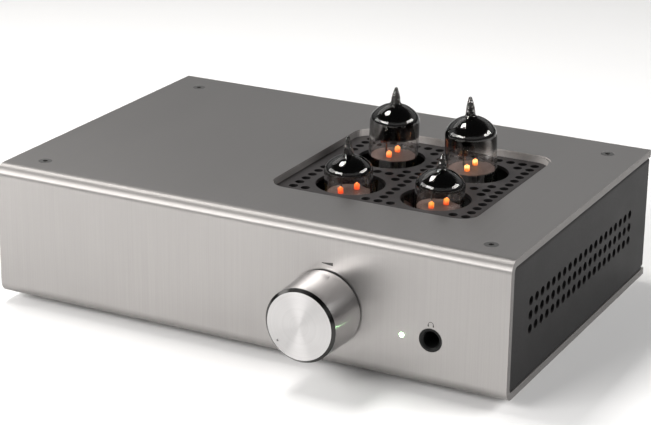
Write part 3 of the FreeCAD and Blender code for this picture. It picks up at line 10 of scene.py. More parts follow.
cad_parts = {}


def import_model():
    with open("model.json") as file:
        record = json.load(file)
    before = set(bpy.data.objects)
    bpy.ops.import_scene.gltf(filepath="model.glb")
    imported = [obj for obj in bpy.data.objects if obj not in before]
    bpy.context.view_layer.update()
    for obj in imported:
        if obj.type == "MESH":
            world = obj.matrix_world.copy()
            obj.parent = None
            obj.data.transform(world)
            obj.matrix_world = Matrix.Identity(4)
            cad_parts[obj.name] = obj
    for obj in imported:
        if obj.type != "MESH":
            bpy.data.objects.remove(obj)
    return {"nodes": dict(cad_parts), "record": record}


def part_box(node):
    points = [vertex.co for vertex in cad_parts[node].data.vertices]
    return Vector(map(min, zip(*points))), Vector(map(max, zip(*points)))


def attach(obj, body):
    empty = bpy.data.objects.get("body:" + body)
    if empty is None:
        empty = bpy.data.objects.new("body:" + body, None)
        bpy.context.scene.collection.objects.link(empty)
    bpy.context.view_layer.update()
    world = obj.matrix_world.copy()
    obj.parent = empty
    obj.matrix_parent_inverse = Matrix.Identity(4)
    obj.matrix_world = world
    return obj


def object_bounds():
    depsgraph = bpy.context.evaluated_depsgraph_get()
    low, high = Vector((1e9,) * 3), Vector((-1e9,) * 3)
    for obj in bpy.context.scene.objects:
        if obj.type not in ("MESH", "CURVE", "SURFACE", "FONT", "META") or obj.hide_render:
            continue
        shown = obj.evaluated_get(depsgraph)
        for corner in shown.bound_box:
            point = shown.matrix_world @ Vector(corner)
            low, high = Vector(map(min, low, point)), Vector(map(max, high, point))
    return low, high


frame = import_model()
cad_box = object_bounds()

MM = 0.001

# ---- camera and light -----------------------------------------------------------------------
CAMERA_TURN = 27.290          # degrees round the object from straight ahead
CAMERA_RISE = 19.792          # degrees above the floor
CAMERA_ROLL = 0.695
CAMERA_FAR = 876.92 * MM
# from the middle of the case's front, at floor level
CAMERA_AIM = Vector((-1.36, 76.0, 35.72)) * MM
CAMERA_LENS = 115.1           # in mm, on a sensor 36 mm wide
SENSOR_WIDTH = 36.0
FLOOR_SIDE = 12.0

WARM = (1.0, 0.985, 0.965)
CLIP = (0.01, 50.0)

# name, degrees round, degrees up, distance, width, height, brightness, colour
LIGHTS = (
    ("overhead_left", -94.0, 68.0, 0.85, 0.32, 0.20, 22.0, WARM),
    ("back_left", -124.0, 44.0, 0.60, 0.40, 0.20, 1.2, WARM),
    ("left_bar", -27.0, 27.0, 1.20, 0.78, 0.38, 13.0, (1.0, 0.985, 0.97)),
    ("right_bar", 112.0, 29.0, 1.20, 0.84, 0.34, 10.5, (1.0, 0.99, 0.98)),
    ("low_left", -66.0, 24.0, 0.62, 0.34, 0.22, 4.0, WARM),
)
# height as the sine of the angle above level, brightness
SURROUNDINGS = ((0.0, 0.14), (0.20, 0.16), (0.27, 0.50), (0.50, 0.50), (0.64, 0.05), (1.0, 0.04))

# ---- small printed and fitted pieces --------------------------------------------------------
PRINT_T = 0.04 * MM           # how far a print stands on its face
# from the knob's axis in mm: left, right, level, thin and thick end
WEDGE = (-1.6, 3.2, 18.4, 0.25, 1.3)
PHONES_UP = 6.3               # headphone sign's band above the socket's axis, in mm
PHONES_W = 2.1                # between the middles of its ears
PHONES_BAND = 0.22            # the band's thickness
EAR = (0.26, 0.85, 0.05)      # an ear's half width, and its foot and head below the band's centre
LED_FLANGE_R = 1.6 * MM
LED_CORE = (1.1, 0.55)        # radii in mm where the lamp's bright core ends and where it is full
LED_FRONT = (2.5, 1.0)        # depths in mm between which its light sets in
LED_GLOW = (0.6, 36.0)        # strength round the core and in it
SHEET_T = 3.0 * MM
BEND_DEPTH = (10.0, 11.0)     # in mm behind the front, where the top's sawn edges begin
EDGE_FADE = 0.4
TAPE_TURNS = 36.0
FUSE_CAP = 5.5                # length of a fuse's cap in mm
VALVES = ("front_left", "front_right", "rear_left", "rear_right")
GLASS_WALL = 0.9 * MM
PIN_L = 7.0 * MM
PIN_REACH = 6.45 * MM         # from a valve's axis to the rear of its rearmost pin
SEAT_GAP = 0.15 * MM
SHOULDER_R = 5.0 * MM
DOME_R = 12.0 * MM
LEAN_TOWARDS = math.radians(27.0)    # the valves lean across this direction, as degrees round
FRONT_CROWN = 42.2            # crowns above the seat in mm, with the lean's lift
REAR_CROWN = 53.8
# glass radius, crown above the seat, lean in degrees, film's solid edge and thin end below the crown
BULBS = {
    "front_left": (10.0, 41.3, -1.6, 5.4, 7.2),
    "front_right": (10.1, 41.4, 2.7, 5.4, 7.4),
    "rear_left": (10.5, 53.0, 1.3, 12.6, 14.0),
    "rear_right": (10.8, 53.1, -2.6, 8.0, 14.6),
}
# upper mica above the seat in mm, turn of the two cathodes in degrees
HEATERS = {
    "front_left": (25.6, 63.0),
    "front_right": (25.6, 67.0),
    "rear_left": (30.5, 90.0),
    "rear_right": (30.5, 90.0),
}
# glow at the root and at the end of the heaters' tips, and their strengths
GLOWS = {
    "front_left": ((1.0, 0.05, 0.008), (1.0, 0.15, 0.02), 1.0, 1.5),
    "front_right": ((1.0, 0.07, 0.01), (1.0, 0.36, 0.05), 0.9, 1.5),
    "rear_left": ((1.0, 0.12, 0.02), (1.0, 0.36, 0.10), 1.2, 1.8),
    "rear_right": ((1.0, 0.18, 0.02), (1.0, 0.60, 0.18), 1.2, 2.8),
}
CATHODE_APART = 8.2 * MM
TIP_ROOT = 0.2 * MM           # a heater's lit end above the middle of the mica
# outline of a heater's lit end: radius and height in mm
TIP_OUTLINE = ((0.0, 0.0), (1.05, 0.0), (1.12, 0.2), (1.12, 2.2), (0.98, 2.4), (0.7, 2.5), (0.0, 2.52))
# beads in a glass tip: height as a share of the tip's length, and radius in mm
BEADS = ((0.10, 1.25), (0.36, 0.95), (0.57, 0.80), (0.76, 0.55))
BEADS_FIT = 8.0 * MM          # length of a tip in which the beads are round
BEAD_HALF = 64.0              # degrees of a bead's outline, above and below its middle
BEAD_STEPS = 8
ON_AXIS = 1e-9                # radius below which a turned point is one point
FILM_T = 0.05 * MM
FILM_IN = 0.12 * MM           # how deep the film's outer face lies in the glass, from its inner face
WALL_STEPS = 12               # of the film's line, up the wall, round the shoulder and over the dome
SHOULDER_STEPS = 14
DOME_STEPS = 24

# ---- surfaces -------------------------------------------------------------------------------
NOISE_RANGE = (0.3, 0.7)      # between which nearly all of a noise lies
RAGGED = 0.9                  # spread of a ragged level
GRAIN_SHARE = 0.7             # of the fine grain in a surface's mottling
MOTTLE = 0.06                 # broad mottling per mm
# brushing and sawing, as cells per mm along each axis
STREAKS = (2.6, 0.012, 0.012)
HAIRS = (9.0, 0.05, 0.05)
CLOUDS = (0.03, 0.006, 0.02)
SAW_MARKS = (1.0, 1.2, 1.2)
STREAK_SHARE = 0.55           # of the streaks beside the hairs
ACROSS_GRAIN = (1.0, 0.01, 0.013)    # square to the brushing, and never quite to a face
BEND_DULL = 0.22              # roughness added in the bends, at sawn edges and on the knob's face
EDGE_DULL = 0.2
FACE_DULL = 0.12
KNOB_RINGS = 5.0              # turning marks per mm
TIP_FADE = 1.2                # height in mm over which a bulb's crown turns into its rippled tip
WAVE_DEPTH = 0.05
SEED_DEPTH = 0.45
FILM_COVER = 0.55             # how soon thin film covers what is behind it; less is sooner
LAP_SHARE = 0.7               # of the laps in the tape's shade
SHADOW_TINT = (0.9, 0.9, 0.9, 1.0)
SCREW_ROUGH = (0.28, 0.42)
# slot: darkest and lightest colour, roughness from and to, grain in mm, its depth in mm, other sockets
GRAINED = {
    "sheet_steel": ((0.44, 0.44, 0.44), (0.60, 0.60, 0.60), (0.3, 0.45), 0.3, 0.01, {"Metallic": 1.0}),
    "black_rubber": ((0.012, 0.012, 0.012), (0.024, 0.024, 0.024), (0.6, 0.8), 0.4, 0.04, {}),
    "black_plastic": ((0.005, 0.005, 0.005), (0.010, 0.010, 0.010), (0.3, 0.45), 0.25, 0.02,
                      {"Specular_IOR_Level": 0.2}),
    "rocker_plastic": ((0.012, 0.012, 0.012), (0.022, 0.022, 0.022), (0.2, 0.3), 0.3, 0.01, {}),
    "nickel": ((0.50, 0.48, 0.45), (0.68, 0.66, 0.62), (0.2, 0.34), 0.2, 0.006, {"Metallic": 1.0}),
    "socket_ceramic": ((0.62, 0.60, 0.56), (0.74, 0.72, 0.68), (0.35, 0.5), 0.4, 0.03, {}),
    "gold_plate": ((0.72, 0.48, 0.17), (0.88, 0.64, 0.28), (0.16, 0.3), 0.2, 0.006, {"Metallic": 1.0}),
    "white_plastic": ((0.66, 0.66, 0.65), (0.76, 0.76, 0.75), (0.3, 0.4), 0.3, 0.01, {}),
    "red_plastic": ((0.42, 0.015, 0.012), (0.54, 0.025, 0.02), (0.3, 0.4), 0.3, 0.01, {}),
    "capacitor_sleeve": ((0.012, 0.016, 0.03), (0.02, 0.026, 0.05), (0.22, 0.32), 0.5, 0.01, {}),
    "film_case": ((0.30, 0.05, 0.03), (0.40, 0.08, 0.05), (0.35, 0.5), 0.3, 0.02, {}),
    "sink_aluminium": ((0.02, 0.02, 0.021), (0.035, 0.035, 0.036), (0.4, 0.55), 0.3, 0.02,
                       {"Metallic": 0.4}),
    "wire_insulation": ((0.05, 0.05, 0.055), (0.09, 0.09, 0.095), (0.4, 0.5), 0.4, 0.01, {}),
    "electrode_grey": ((0.018, 0.018, 0.018), (0.036, 0.035, 0.034), (0.45, 0.6), 0.3, 0.02,
                       {"Metallic": 0.5}),
}
INK = ((0.020, 0.019, 0.019), (0.05, 0.048, 0.047), (0.4, 0.6), 0.2, 0.01)


# ---- node helpers ---------------------------------------------------------------------------
class Finish:
    """A material under construction: its Principled shader, and the nodes that feed it."""

    def __init__(self, name, **sockets):
        self.mat = bpy.data.materials.new(name)
        self.mat.use_nodes = True
        self.tree = self.mat.node_tree
        self.shader = self.tree.nodes["Principled BSDF"]
        self.output = self.tree.nodes["Material Output"]
        self.set(**sockets)

    def set(self, **sockets):
        for key, value in sockets.items():
            self.shader.inputs[key.replace("_", " ")].default_value = value

    def node(self, kind, *inputs, **settings):
        """A new node; inputs are sockets or values in order, with None left as it is."""
        made = self.tree.nodes.new(kind)
        for key, value in settings.items():
            setattr(made, key, value)
        for i, value in enumerate(inputs):
            if value is not None:
                self.feed(made.inputs[i], value)
        return made

    def feed(self, socket, value):
        if isinstance(value, bpy.types.NodeSocket):
            self.tree.links.new(value, socket)
        else:
            socket.default_value = value

    def drive(self, name, value):
        self.feed(self.shader.inputs[name], value)

    def place(self, stretch=(1.0, 1.0, 1.0), centre=(0.0, 0.0, 0.0)):
        """The object's own coordinates in millimetres from a centre, times a stretch."""
        own = self.node("ShaderNodeTexCoord").outputs["Object"]
        scale = [value / MM for value in stretch]
        shift = [-c * s for c, s in zip(centre, scale)]
        mapping = self.node("ShaderNodeMapping", own)
        mapping.inputs["Location"].default_value = shift
        mapping.inputs["Scale"].default_value = scale
        return mapping.outputs["Vector"]

    def noise(self, place, scale=1.0, detail=3.0, roughness=0.5):
        made = self.node("ShaderNodeTexNoise", place)
        made.inputs["Scale"].default_value = scale
        made.inputs["Detail"].default_value = detail
        made.inputs["Roughness"].default_value = roughness
        return made.outputs["Fac"]

    def math(self, kind, *values):
        return self.node("ShaderNodeMath", *values, operation=kind).outputs["Value"]

    def span(self, value, low, high, to_low=0.0, to_high=1.0, smooth=False):
        kind = "SMOOTHSTEP" if smooth else "LINEAR"
        made = self.node("ShaderNodeMapRange", value, low, high, to_low, to_high,
                         interpolation_type=kind)
        return made.outputs["Result"]

    def spread(self, noise, to_low=0.0, to_high=1.0):
        """A noise's usual range, spread between two values."""
        return self.span(noise, *NOISE_RANGE, to_low, to_high)

    def blend(self, first, second, share):
        """A share of one value and the rest of another."""
        return self.math("ADD", self.math("MULTIPLY", first, share),
                         self.math("MULTIPLY", second, 1.0 - share))

    def ragged(self, place, scale):
        """Noise about zero that makes a level ragged."""
        return self.math("MULTIPLY", self.math("SUBTRACT", self.noise(place, scale, 3.0), 0.5), RAGGED)

    def mix(self, factor, first, second):
        made = self.node("ShaderNodeMix", data_type="RGBA")
        colours = [s for s in made.inputs if s.type == "RGBA"]
        self.feed(made.inputs[0], factor)
        self.feed(colours[0], first)
        self.feed(colours[1], second)
        return next(s for s in made.outputs if s.type == "RGBA")

    def tint(self, factor, dark, light):
        self.drive("Base Color", self.mix(factor, rgba(dark), rgba(light)))

    def split(self, vector):
        return self.node("ShaderNodeSeparateXYZ", vector).outputs

    def facing(self):
        """The parts of the direction that the surface faces."""
        return self.split(self.node("ShaderNodeNewGeometry").outputs["True Normal"])

    def radius(self, first, second):
        """How far from an axis, given the two parts across it."""
        return self.math("POWER", self.math("ADD", self.math("MULTIPLY", first, first),
                                            self.math("MULTIPLY", second, second)), 0.5)

    def grain(self, size, stretch=(1.0, 1.0, 1.0)):
        """A fine grain of a size in millimetres, and it over broad, faint mottling."""
        fine = self.noise(self.place(stretch), 1.0 / size, 4.0, 0.6)
        broad = self.noise(self.place(), MOTTLE, 2.0)
        return fine, self.blend(fine, broad, GRAIN_SHARE)

    def bump(self, height, depth):
        """Relief of a depth in millimetres from a height between 0 and 1."""
        made = self.node("ShaderNodeBump")
        made.inputs["Strength"].default_value = 1.0
        made.inputs["Distance"].default_value = depth * MM
        self.feed(made.inputs["Height"], height)
        self.drive("Normal", made.outputs["Normal"])


def rgba(colour):
    return (*colour, 1.0)


def grained(name, dark, light, rough, size, depth, stretch=(1.0, 1.0, 1.0), **sockets):
    """A surface with a fine grain over broad mottling; sizes are in millimetres."""
    made = Finish(name, **sockets)
    fine, both = made.grain(size, stretch)
    spread = made.spread(both)
    made.tint(spread, dark, light)
    made.drive("Roughness", made.spread(both, *rough))
    made.bump(fine, depth)
    return made


# ---- metal finishes -------------------------------------------------------------------------
def brushed_sheet():
    """Sheet brushed from front to rear on top, and so up and down the front; sawn at its edges."""
    made = Finish("brushed_sheet", Anisotropic=0.72)
    streaks = made.noise(made.place(STREAKS), 1.0, 3.0, 0.62)
    hairs = made.noise(made.place(HAIRS), 1.0, 2.0, 0.5)
    cloud = made.noise(made.place(CLOUDS), 1.0, 2.0)
    lines = made.blend(streaks, hairs, STREAK_SHARE)
    tone = made.mix(made.span(lines, 0.34, 0.66),
                    rgba((0.375, 0.361, 0.353)), rgba((0.425, 0.409, 0.400)))
    tone = made.mix(made.spread(cloud, 0.0, 0.3), tone, rgba((0.355, 0.343, 0.336)))
    facing = made.facing()
    side = made.span(made.math("ABSOLUTE", facing["X"]), 0.85, 0.95)
    own = made.split(made.place())
    upright = made.span(made.math("ABSOLUTE", facing["Z"]), 0.5, 0.2)
    low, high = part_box("outer_wrap")
    front = low.y / MM
    under = (high.z - SHEET_T) / MM
    upper = made.span(own["Z"], under - EDGE_FADE, under)
    behind = made.span(own["Y"], *[front + depth for depth in BEND_DEPTH])
    cut = made.math("MULTIPLY", made.math("MULTIPLY", upright, upper), behind)
    edge = made.math("MAXIMUM", side, cut)
    saw = made.noise(made.place(SAW_MARKS), 1.0, 4.0, 0.7)
    milled = made.mix(saw, rgba((0.50, 0.475, 0.46)), rgba((0.68, 0.65, 0.63)))
    # Painted shade: sawn edges that face sideways are coloured far darker than the same sawn metal
    # round the window.
    shaded_side_edge = made.mix(saw, rgba((0.13, 0.124, 0.12)), rgba((0.20, 0.19, 0.185)))
    sawn = made.mix(side, milled, shaded_side_edge)
    made.drive("Base Color", made.mix(edge, tone, sawn))
    rough = made.spread(lines, 0.33, 0.43)
    flat_y = made.span(made.math("ABSOLUTE", facing["Y"]), 0.12, 0.5)
    flat_z = made.span(made.math("ABSOLUTE", facing["Z"]), 0.12, 0.5)
    bend = made.math("MULTIPLY", made.math("MULTIPLY", flat_y, flat_z), BEND_DULL)
    worn = made.math("ADD", bend, made.math("MULTIPLY", edge, EDGE_DULL))
    made.drive("Roughness", made.math("ADD", rough, worn))
    made.drive("Metallic", made.span(edge, 0.0, 1.0, 1.0, 0.3))
    made.bump(lines, 0.012)
    made.drive("Tangent", made.node("ShaderNodeCombineXYZ", *ACROSS_GRAIN).outputs["Vector"])
    return made.mat


def spun_knob():
    """Turned face with a radial sheen, a finely turned, polished side, and a chamfer coloured near
    black as painted shade.
    """
    low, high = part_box("volume_knob")
    centre = (low + high) / 2
    made = Finish("spun_knob", Metallic=1.0, Anisotropic=0.85, Anisotropic_Rotation=0.25)
    place = made.split(made.place(centre=centre))
    radius = made.radius(place["X"], place["Z"])
    rings_at = made.node("ShaderNodeCombineXYZ", made.math("MULTIPLY", radius, KNOB_RINGS),
                         made.math("MULTIPLY", place["Y"], KNOB_RINGS), 0.0)
    rings = made.noise(rings_at.outputs["Vector"], 1.0, 3.0, 0.6)
    slope = made.math("ABSOLUTE", made.facing()["Y"])
    face = made.span(slope, 0.9, 0.97)
    tone = made.mix(made.spread(rings), rgba((0.51, 0.502, 0.50)), rgba((0.56, 0.551, 0.55)))
    # Painted shade: the chamfer, the same turned aluminium, is coloured near black all round.
    chamfer_shade = made.math("MULTIPLY", made.span(slope, 0.45, 0.6), made.span(slope, 0.9, 0.8))
    made.drive("Base Color", made.mix(chamfer_shade, tone, rgba((0.05, 0.049, 0.048))))
    rough = made.spread(rings, 0.17, 0.24)
    made.drive("Roughness", made.math("ADD", rough, made.math("MULTIPLY", face, FACE_DULL)))
    made.bump(rings, 0.002)
    round_axis = made.node("ShaderNodeTangent", direction_type="RADIAL", axis="Y")
    made.drive("Tangent", round_axis.outputs["Tangent"])
    return made.mat


def powder_coat():
    """Dark satin paint, coloured several times lighter on faces that look up: painted light on the flat
    top.
    """
    made = Finish("powder_coat", Specular_IOR_Level=0.16)
    fine, both = made.grain(0.35)
    spread = made.spread(both)
    sides = made.mix(spread, rgba((0.007, 0.0066, 0.0067)), rgba((0.012, 0.0112, 0.0115)))
    # Painted light: the same paint takes this lighter colour where it faces up.
    top = made.mix(spread, rgba((0.030, 0.0275, 0.0275)), rgba((0.042, 0.0385, 0.039)))
    up = made.facing()["Z"]
    made.drive("Base Color", made.mix(made.span(up, 0.5, 0.9), sides, top))
    made.drive("Roughness", made.spread(both, 0.42, 0.55))
    made.bump(fine, 0.03)
    return made.mat


def screw_metal(name, dark, light):
    return grained(name, dark, light, SCREW_ROUGH, 0.25, 0.01, (1.0, 1.0, 4.0), Metallic=1.0).mat


# ---- glass and valve finishes ---------------------------------------------------------------
def let_lamps_through(made):
    """Shadow rays pass a clear wall, so that lamps light what it holds."""
    path = made.node("ShaderNodeLightPath").outputs["Is Shadow Ray"]
    clear = made.node("ShaderNodeBsdfTransparent", SHADOW_TINT)
    both = made.node("ShaderNodeMixShader", path, made.shader.outputs["BSDF"], clear.outputs["BSDF"])
    made.tree.links.new(both.outputs["Shader"], made.output.inputs["Surface"])


def valve_glass(name, crown_z):
    """Blown glass, faintly wavy; its drawn tip is full of ripples and seeds."""
    made = Finish(name, IOR=1.5, Transmission_Weight=1.0, Specular_IOR_Level=0.25)
    place = made.place()
    waves = made.noise(made.place((1.0, 1.0, 0.5)), 0.35, 2.0)
    made.drive("Roughness", made.spread(waves, 0.0, 0.03))
    made.tint(waves, (0.84, 0.83, 0.82), (0.90, 0.89, 0.88))
    cells = made.node("ShaderNodeTexVoronoi", place, feature="SMOOTH_F1")
    cells.inputs["Scale"].default_value = 0.55
    tip = made.span(made.split(place)["Z"], crown_z, crown_z + TIP_FADE)
    seeds = made.math("MULTIPLY", cells.outputs["Distance"], tip)
    height = made.math("ADD", made.math("MULTIPLY", waves, WAVE_DEPTH),
                       made.math("MULTIPLY", seeds, SEED_DEPTH))
    made.bump(height, 1.0)
    let_lamps_through(made)
    return made.mat


def getter_film(name, place, solid, end):
    """Mirror film that thins to brown and then to nothing towards its lower edge."""
    made = Finish("getter_film_" + name, Metallic=1.0, Specular_Tint=rgba((0.12, 0.11, 0.10)))
    own = made.place()
    upright = place.to_3x3() @ Vector((0.0, 0.0, 1.0))
    along = made.node("ShaderNodeVectorMath", own, tuple(upright), operation="DOT_PRODUCT")
    base = place.translation.dot(upright) / MM
    level = made.math("ADD", along.outputs["Value"], made.ragged(own, 0.35))
    thick = made.span(level, base + end / MM, base + solid / MM, smooth=True)
    made.tint(thick, (0.045, 0.029, 0.021), (0.020, 0.019, 0.018))
    made.drive("Roughness", made.spread(made.noise(own, 0.8, 3.0), 0.01, 0.05))
    made.drive("Alpha", made.math("POWER", thick, FILM_COVER))
    return made.mat


def heater_metal():
    """Cathode sleeves, glowing at their ends."""
    made = Finish("heater_metal", Metallic=0.6, Roughness=0.5)
    place = made.place()
    grain = made.noise(place, 1.5, 3.0)
    made.tint(grain, (0.16, 0.13, 0.11), (0.36, 0.30, 0.26))
    made.drive("Emission Color", made.mix(grain, rgba((1.0, 0.13, 0.012)), rgba((1.0, 0.30, 0.05))))
    made.set(Emission_Strength=2.5)
    return made.mat


def glow(name, low_z, high_z):
    """Hot ceramic: deep orange, paler towards its end."""
    made = Finish("glow_" + name, Roughness=0.6, Specular_IOR_Level=0.1)
    place = made.place()
    height = made.span(made.split(place)["Z"], low_z / MM, high_z / MM)
    heat = made.math("ADD", height, made.ragged(place, 1.1))
    dark, pale, dim, bright = GLOWS[name]
    made.tint(heat, (0.10, 0.04, 0.02), (0.16, 0.08, 0.04))
    made.drive("Emission Color", made.mix(made.span(heat, 0.25, 0.85), rgba(dark), rgba(pale)))
    made.drive("Emission Strength", made.span(heat, 0.2, 0.85, dim, bright))
    return made.mat


def mica_sheet():
    made = Finish("mica_sheet", IOR=1.56, Transmission_Weight=0.1, Specular_IOR_Level=0.25)
    flakes = made.noise(made.place((1.0, 1.0, 6.0)), 0.22, 3.0, 0.5)
    spread = made.spread(flakes)
    # Warm brown: partly the mica's own tint, partly painted glow from the heaters.
    made.tint(spread, (0.10, 0.062, 0.050), (0.16, 0.106, 0.088))
    made.drive("Roughness", made.spread(flakes, 0.35, 0.5))
    made.bump(flakes, 0.03)
    return made.mat


# ---- plastics, ceramics and electrical finishes ---------------------------------------------
def led_lens():
    """Milky lens with a small, bright, slightly green core."""
    low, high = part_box("power_led")
    made = Finish("led_lens", IOR=1.5)
    centre = Vector(((low.x + high.x) / 2, low.y, high.z - LED_FLANGE_R))
    place = made.place()
    part = made.split(made.place(centre=centre))
    away = made.radius(part["X"], part["Z"])
    cells = made.noise(place, 2.0, 2.0)
    made.tint(cells, (0.55, 0.60, 0.54), (0.70, 0.74, 0.68))
    made.drive("Roughness", made.spread(cells, 0.15, 0.3))
    core = made.span(away, *LED_CORE, smooth=True)
    front = made.span(part["Y"], *LED_FRONT)
    made.drive("Emission Color", made.mix(core, rgba((0.40, 1.0, 0.36)), rgba((0.50, 1.0, 0.46))))
    strength = made.span(core, 0.0, 1.0, *LED_GLOW)
    made.drive("Emission Strength", made.math("MULTIPLY", front, strength))
    return made.mat


def circuit_board():
    """Green lacquer over copper tracks."""
    made = Finish("circuit_board", Specular_IOR_Level=0.5)
    place = made.place()
    cells = made.node("ShaderNodeTexVoronoi", place, feature="DISTANCE_TO_EDGE")
    cells.inputs["Scale"].default_value = 0.14
    track = made.span(cells.outputs["Distance"], 0.05, 0.08, smooth=True)
    grain = made.noise(place, 1.2, 3.0)
    lacquer = made.mix(grain, rgba((0.012, 0.09, 0.04)), rgba((0.02, 0.13, 0.06)))
    made.drive("Base Color", made.mix(track, rgba((0.035, 0.19, 0.085)), lacquer))
    made.drive("Roughness", made.spread(grain, 0.28, 0.42))
    made.bump(track, -0.03)
    return made.mat


def winding_tape():
    """Yellow-brown polyester tape wound round the ring, each turn lapping the last."""
    low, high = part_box("transformer_winding")
    made = Finish("winding_tape", Roughness=0.35)
    place = made.place(centre=(low + high) / 2)
    part = made.split(place)
    turn = made.math("ARCTAN2", part["Y"], part["X"])
    lap = made.math("FRACT", made.math("MULTIPLY", turn, TAPE_TURNS / math.tau))
    grain = made.noise(place, 0.8, 3.0)
    made.tint(made.blend(lap, grain, LAP_SHARE), (0.30, 0.19, 0.05), (0.46, 0.32, 0.11))
    made.drive("Roughness", made.spread(grain, 0.22, 0.4))
    made.bump(lap, 0.12)
    return made.mat


def fuse_finish():
    """Glass tube between two nickel caps, shaded as a pale, opaque surface."""
    low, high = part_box("fuse")
    made = Finish("fuse_finish", IOR=1.5)
    place = made.place(centre=(low + high) / 2)
    along = made.math("ABSOLUTE", made.split(place)["X"])
    cap = made.math("GREATER_THAN", along, (high.x - low.x) / 2 / MM - FUSE_CAP)
    grain = made.noise(place, 2.0, 3.0)
    made.tint(grain, (0.72, 0.70, 0.66), (0.88, 0.87, 0.84))
    made.drive("Metallic", cap)
    made.drive("Roughness", made.spread(grain, 0.08, 0.25))
    return made.mat


def finishes():
    """One material for each material slot of the record."""
    made = {}
    for slot, (dark, light, rough, size, depth, sockets) in GRAINED.items():
        made[slot] = grained(slot, dark, light, rough, size, depth, **sockets).mat
    made["dark_steel"] = screw_metal("dark_steel", (0.14, 0.138, 0.135), (0.24, 0.235, 0.23))
    made["zinc_steel"] = screw_metal("zinc_steel", (0.42, 0.42, 0.40), (0.62, 0.62, 0.6))
    made["brushed_aluminium"] = brushed_sheet()
    made["knob_aluminium"] = spun_knob()
    made["dark_paint"] = powder_coat()
    made["led_lens"] = led_lens()
    made["board_laminate"] = circuit_board()
    made["winding_tape"] = winding_tape()
    made["mica"] = mica_sheet()
    made["heater_glow"] = heater_metal()
    made["fuse_glass"] = fuse_finish()
    rear_seat, front_seat = [valve_seat(name)[2] / MM for name in ("rear_left", "front_left")]
    made["valve_glass"] = valve_glass("valve_glass_rear", REAR_CROWN + rear_seat)
    made["valve_glass_front"] = valve_glass("valve_glass_front", FRONT_CROWN + front_seat)
    return made


def dress_nodes(made):
    """Each CAD node takes the finish of its record slot."""
    for node in frame["nodes"].values():
        for slot in node.material_slots:
            kind = slot.material.name.split(".")[0]
            if kind == "valve_glass" and "front" in node.name:
                kind = "valve_glass_front"
            slot.material = made[kind]


# ---- added geometry -------------------------------------------------------------------------
def piece(name, points, faces, material, body="chassis", smooth=True):
    mesh = bpy.data.meshes.new(name)
    mesh.from_pydata([tuple(p) for p in points], [], faces)
    clean = bmesh.new()
    clean.from_mesh(mesh)
    bmesh.ops.recalc_face_normals(clean, faces=clean.faces)
    clean.to_mesh(mesh)
    clean.free()
    mesh.materials.append(material)
    if smooth:
        mesh.shade_smooth()
    made = bpy.data.objects.new(name, mesh)
    bpy.context.scene.collection.objects.link(made)
    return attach(made, body)


def lathe(outline, centre, turns):
    """Points and faces of a closed outline of (radius, height) points turned about an upright axis."""
    points = []
    faces = []
    rings = []
    for radius, height in outline:
        if radius < ON_AXIS:
            points.append(centre + Vector((0, 0, height)))
            rings.append([len(points) - 1] * turns)
            continue
        ring = []
        for i in range(turns):
            angle = math.tau * i / turns
            points.append(centre + Vector((radius * math.cos(angle), radius * math.sin(angle), height)))
            ring.append(len(points) - 1)
        rings.append(ring)
    for lower, upper in zip(rings, rings[1:] + rings[:1]):
        for i in range(turns):
            j = (i + 1) % turns
            corners = []
            for corner in (lower[i], lower[j], upper[j], upper[i]):
                if corner not in corners:
                    corners.append(corner)
            if len(corners) > 2:
                faces.append(corners)
    return points, faces


def valve_seat(name):
    """A valve's axis and the level of its seat, from its pins."""
    low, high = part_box(f"valve_{name}_pins")
    return (low.x + high.x) / 2, high.y - PIN_REACH, low.z + PIN_L - SEAT_GAP


def bulb_place(name):
    """Matrix from a bulb's own upright frame at its seat to where it stands, leaning."""
    radius, _, lean, _, _ = BULBS[name]
    x, y, seat = valve_seat(name)
    across = Vector((-math.sin(LEAN_TOWARDS), math.cos(LEAN_TOWARDS), 0.0))
    lift = radius * MM * math.sin(math.radians(abs(lean)))
    tilt = Matrix.Rotation(math.radians(lean), 4, across)
    return Matrix.Translation((x, y, seat + lift)) @ tilt


def film_line(radius, crown, end, inset):
    """Line inside the bulb, from the film's lower edge up the wall and over the dome to the axis."""
    turn = math.acos((radius - SHOULDER_R) / (DOME_R - SHOULDER_R))
    centre = crown - DOME_R
    shoulder = centre + (DOME_R - SHOULDER_R) * math.sin(turn)
    line = []
    if end < shoulder:
        line = [(radius - inset, end + (shoulder - end) * i / WALL_STEPS) for i in range(WALL_STEPS)]
    for i in range(SHOULDER_STEPS + 1):
        a = turn * i / SHOULDER_STEPS
        r = SHOULDER_R - inset
        line.append((radius - SHOULDER_R + r * math.cos(a), shoulder + r * math.sin(a)))
    for i in range(1, DOME_STEPS + 1):
        a = turn + (math.pi / 2 - turn) * i / DOME_STEPS
        r = DOME_R - inset
        line.append((max(r * math.cos(a), 0.0), centre + r * math.sin(a)))
    line[-1] = (0.0, line[-1][1])
    return [p for p in line if p[1] >= end]


def getter(name):
    """The film that the getter leaves inside the bulb: thin metal in the face of the glass."""
    radius, crown, _, solid, end = BULBS[name]
    low = (crown - end) * MM
    outer = film_line(radius * MM, crown * MM, low, GLASS_WALL - FILM_IN)
    inner = film_line(radius * MM, crown * MM, low, GLASS_WALL - FILM_IN + FILM_T)
    points, faces = lathe(outer + inner[::-1], Vector((0, 0, SEAT_GAP)), turns=96)
    place = bulb_place(name)
    points = [place @ p for p in points]
    material = getter_film(name, place, (crown - solid) * MM, low)
    return piece(f"valve_{name}_getter_film", points, faces, material,
                 f"valve_{name}")


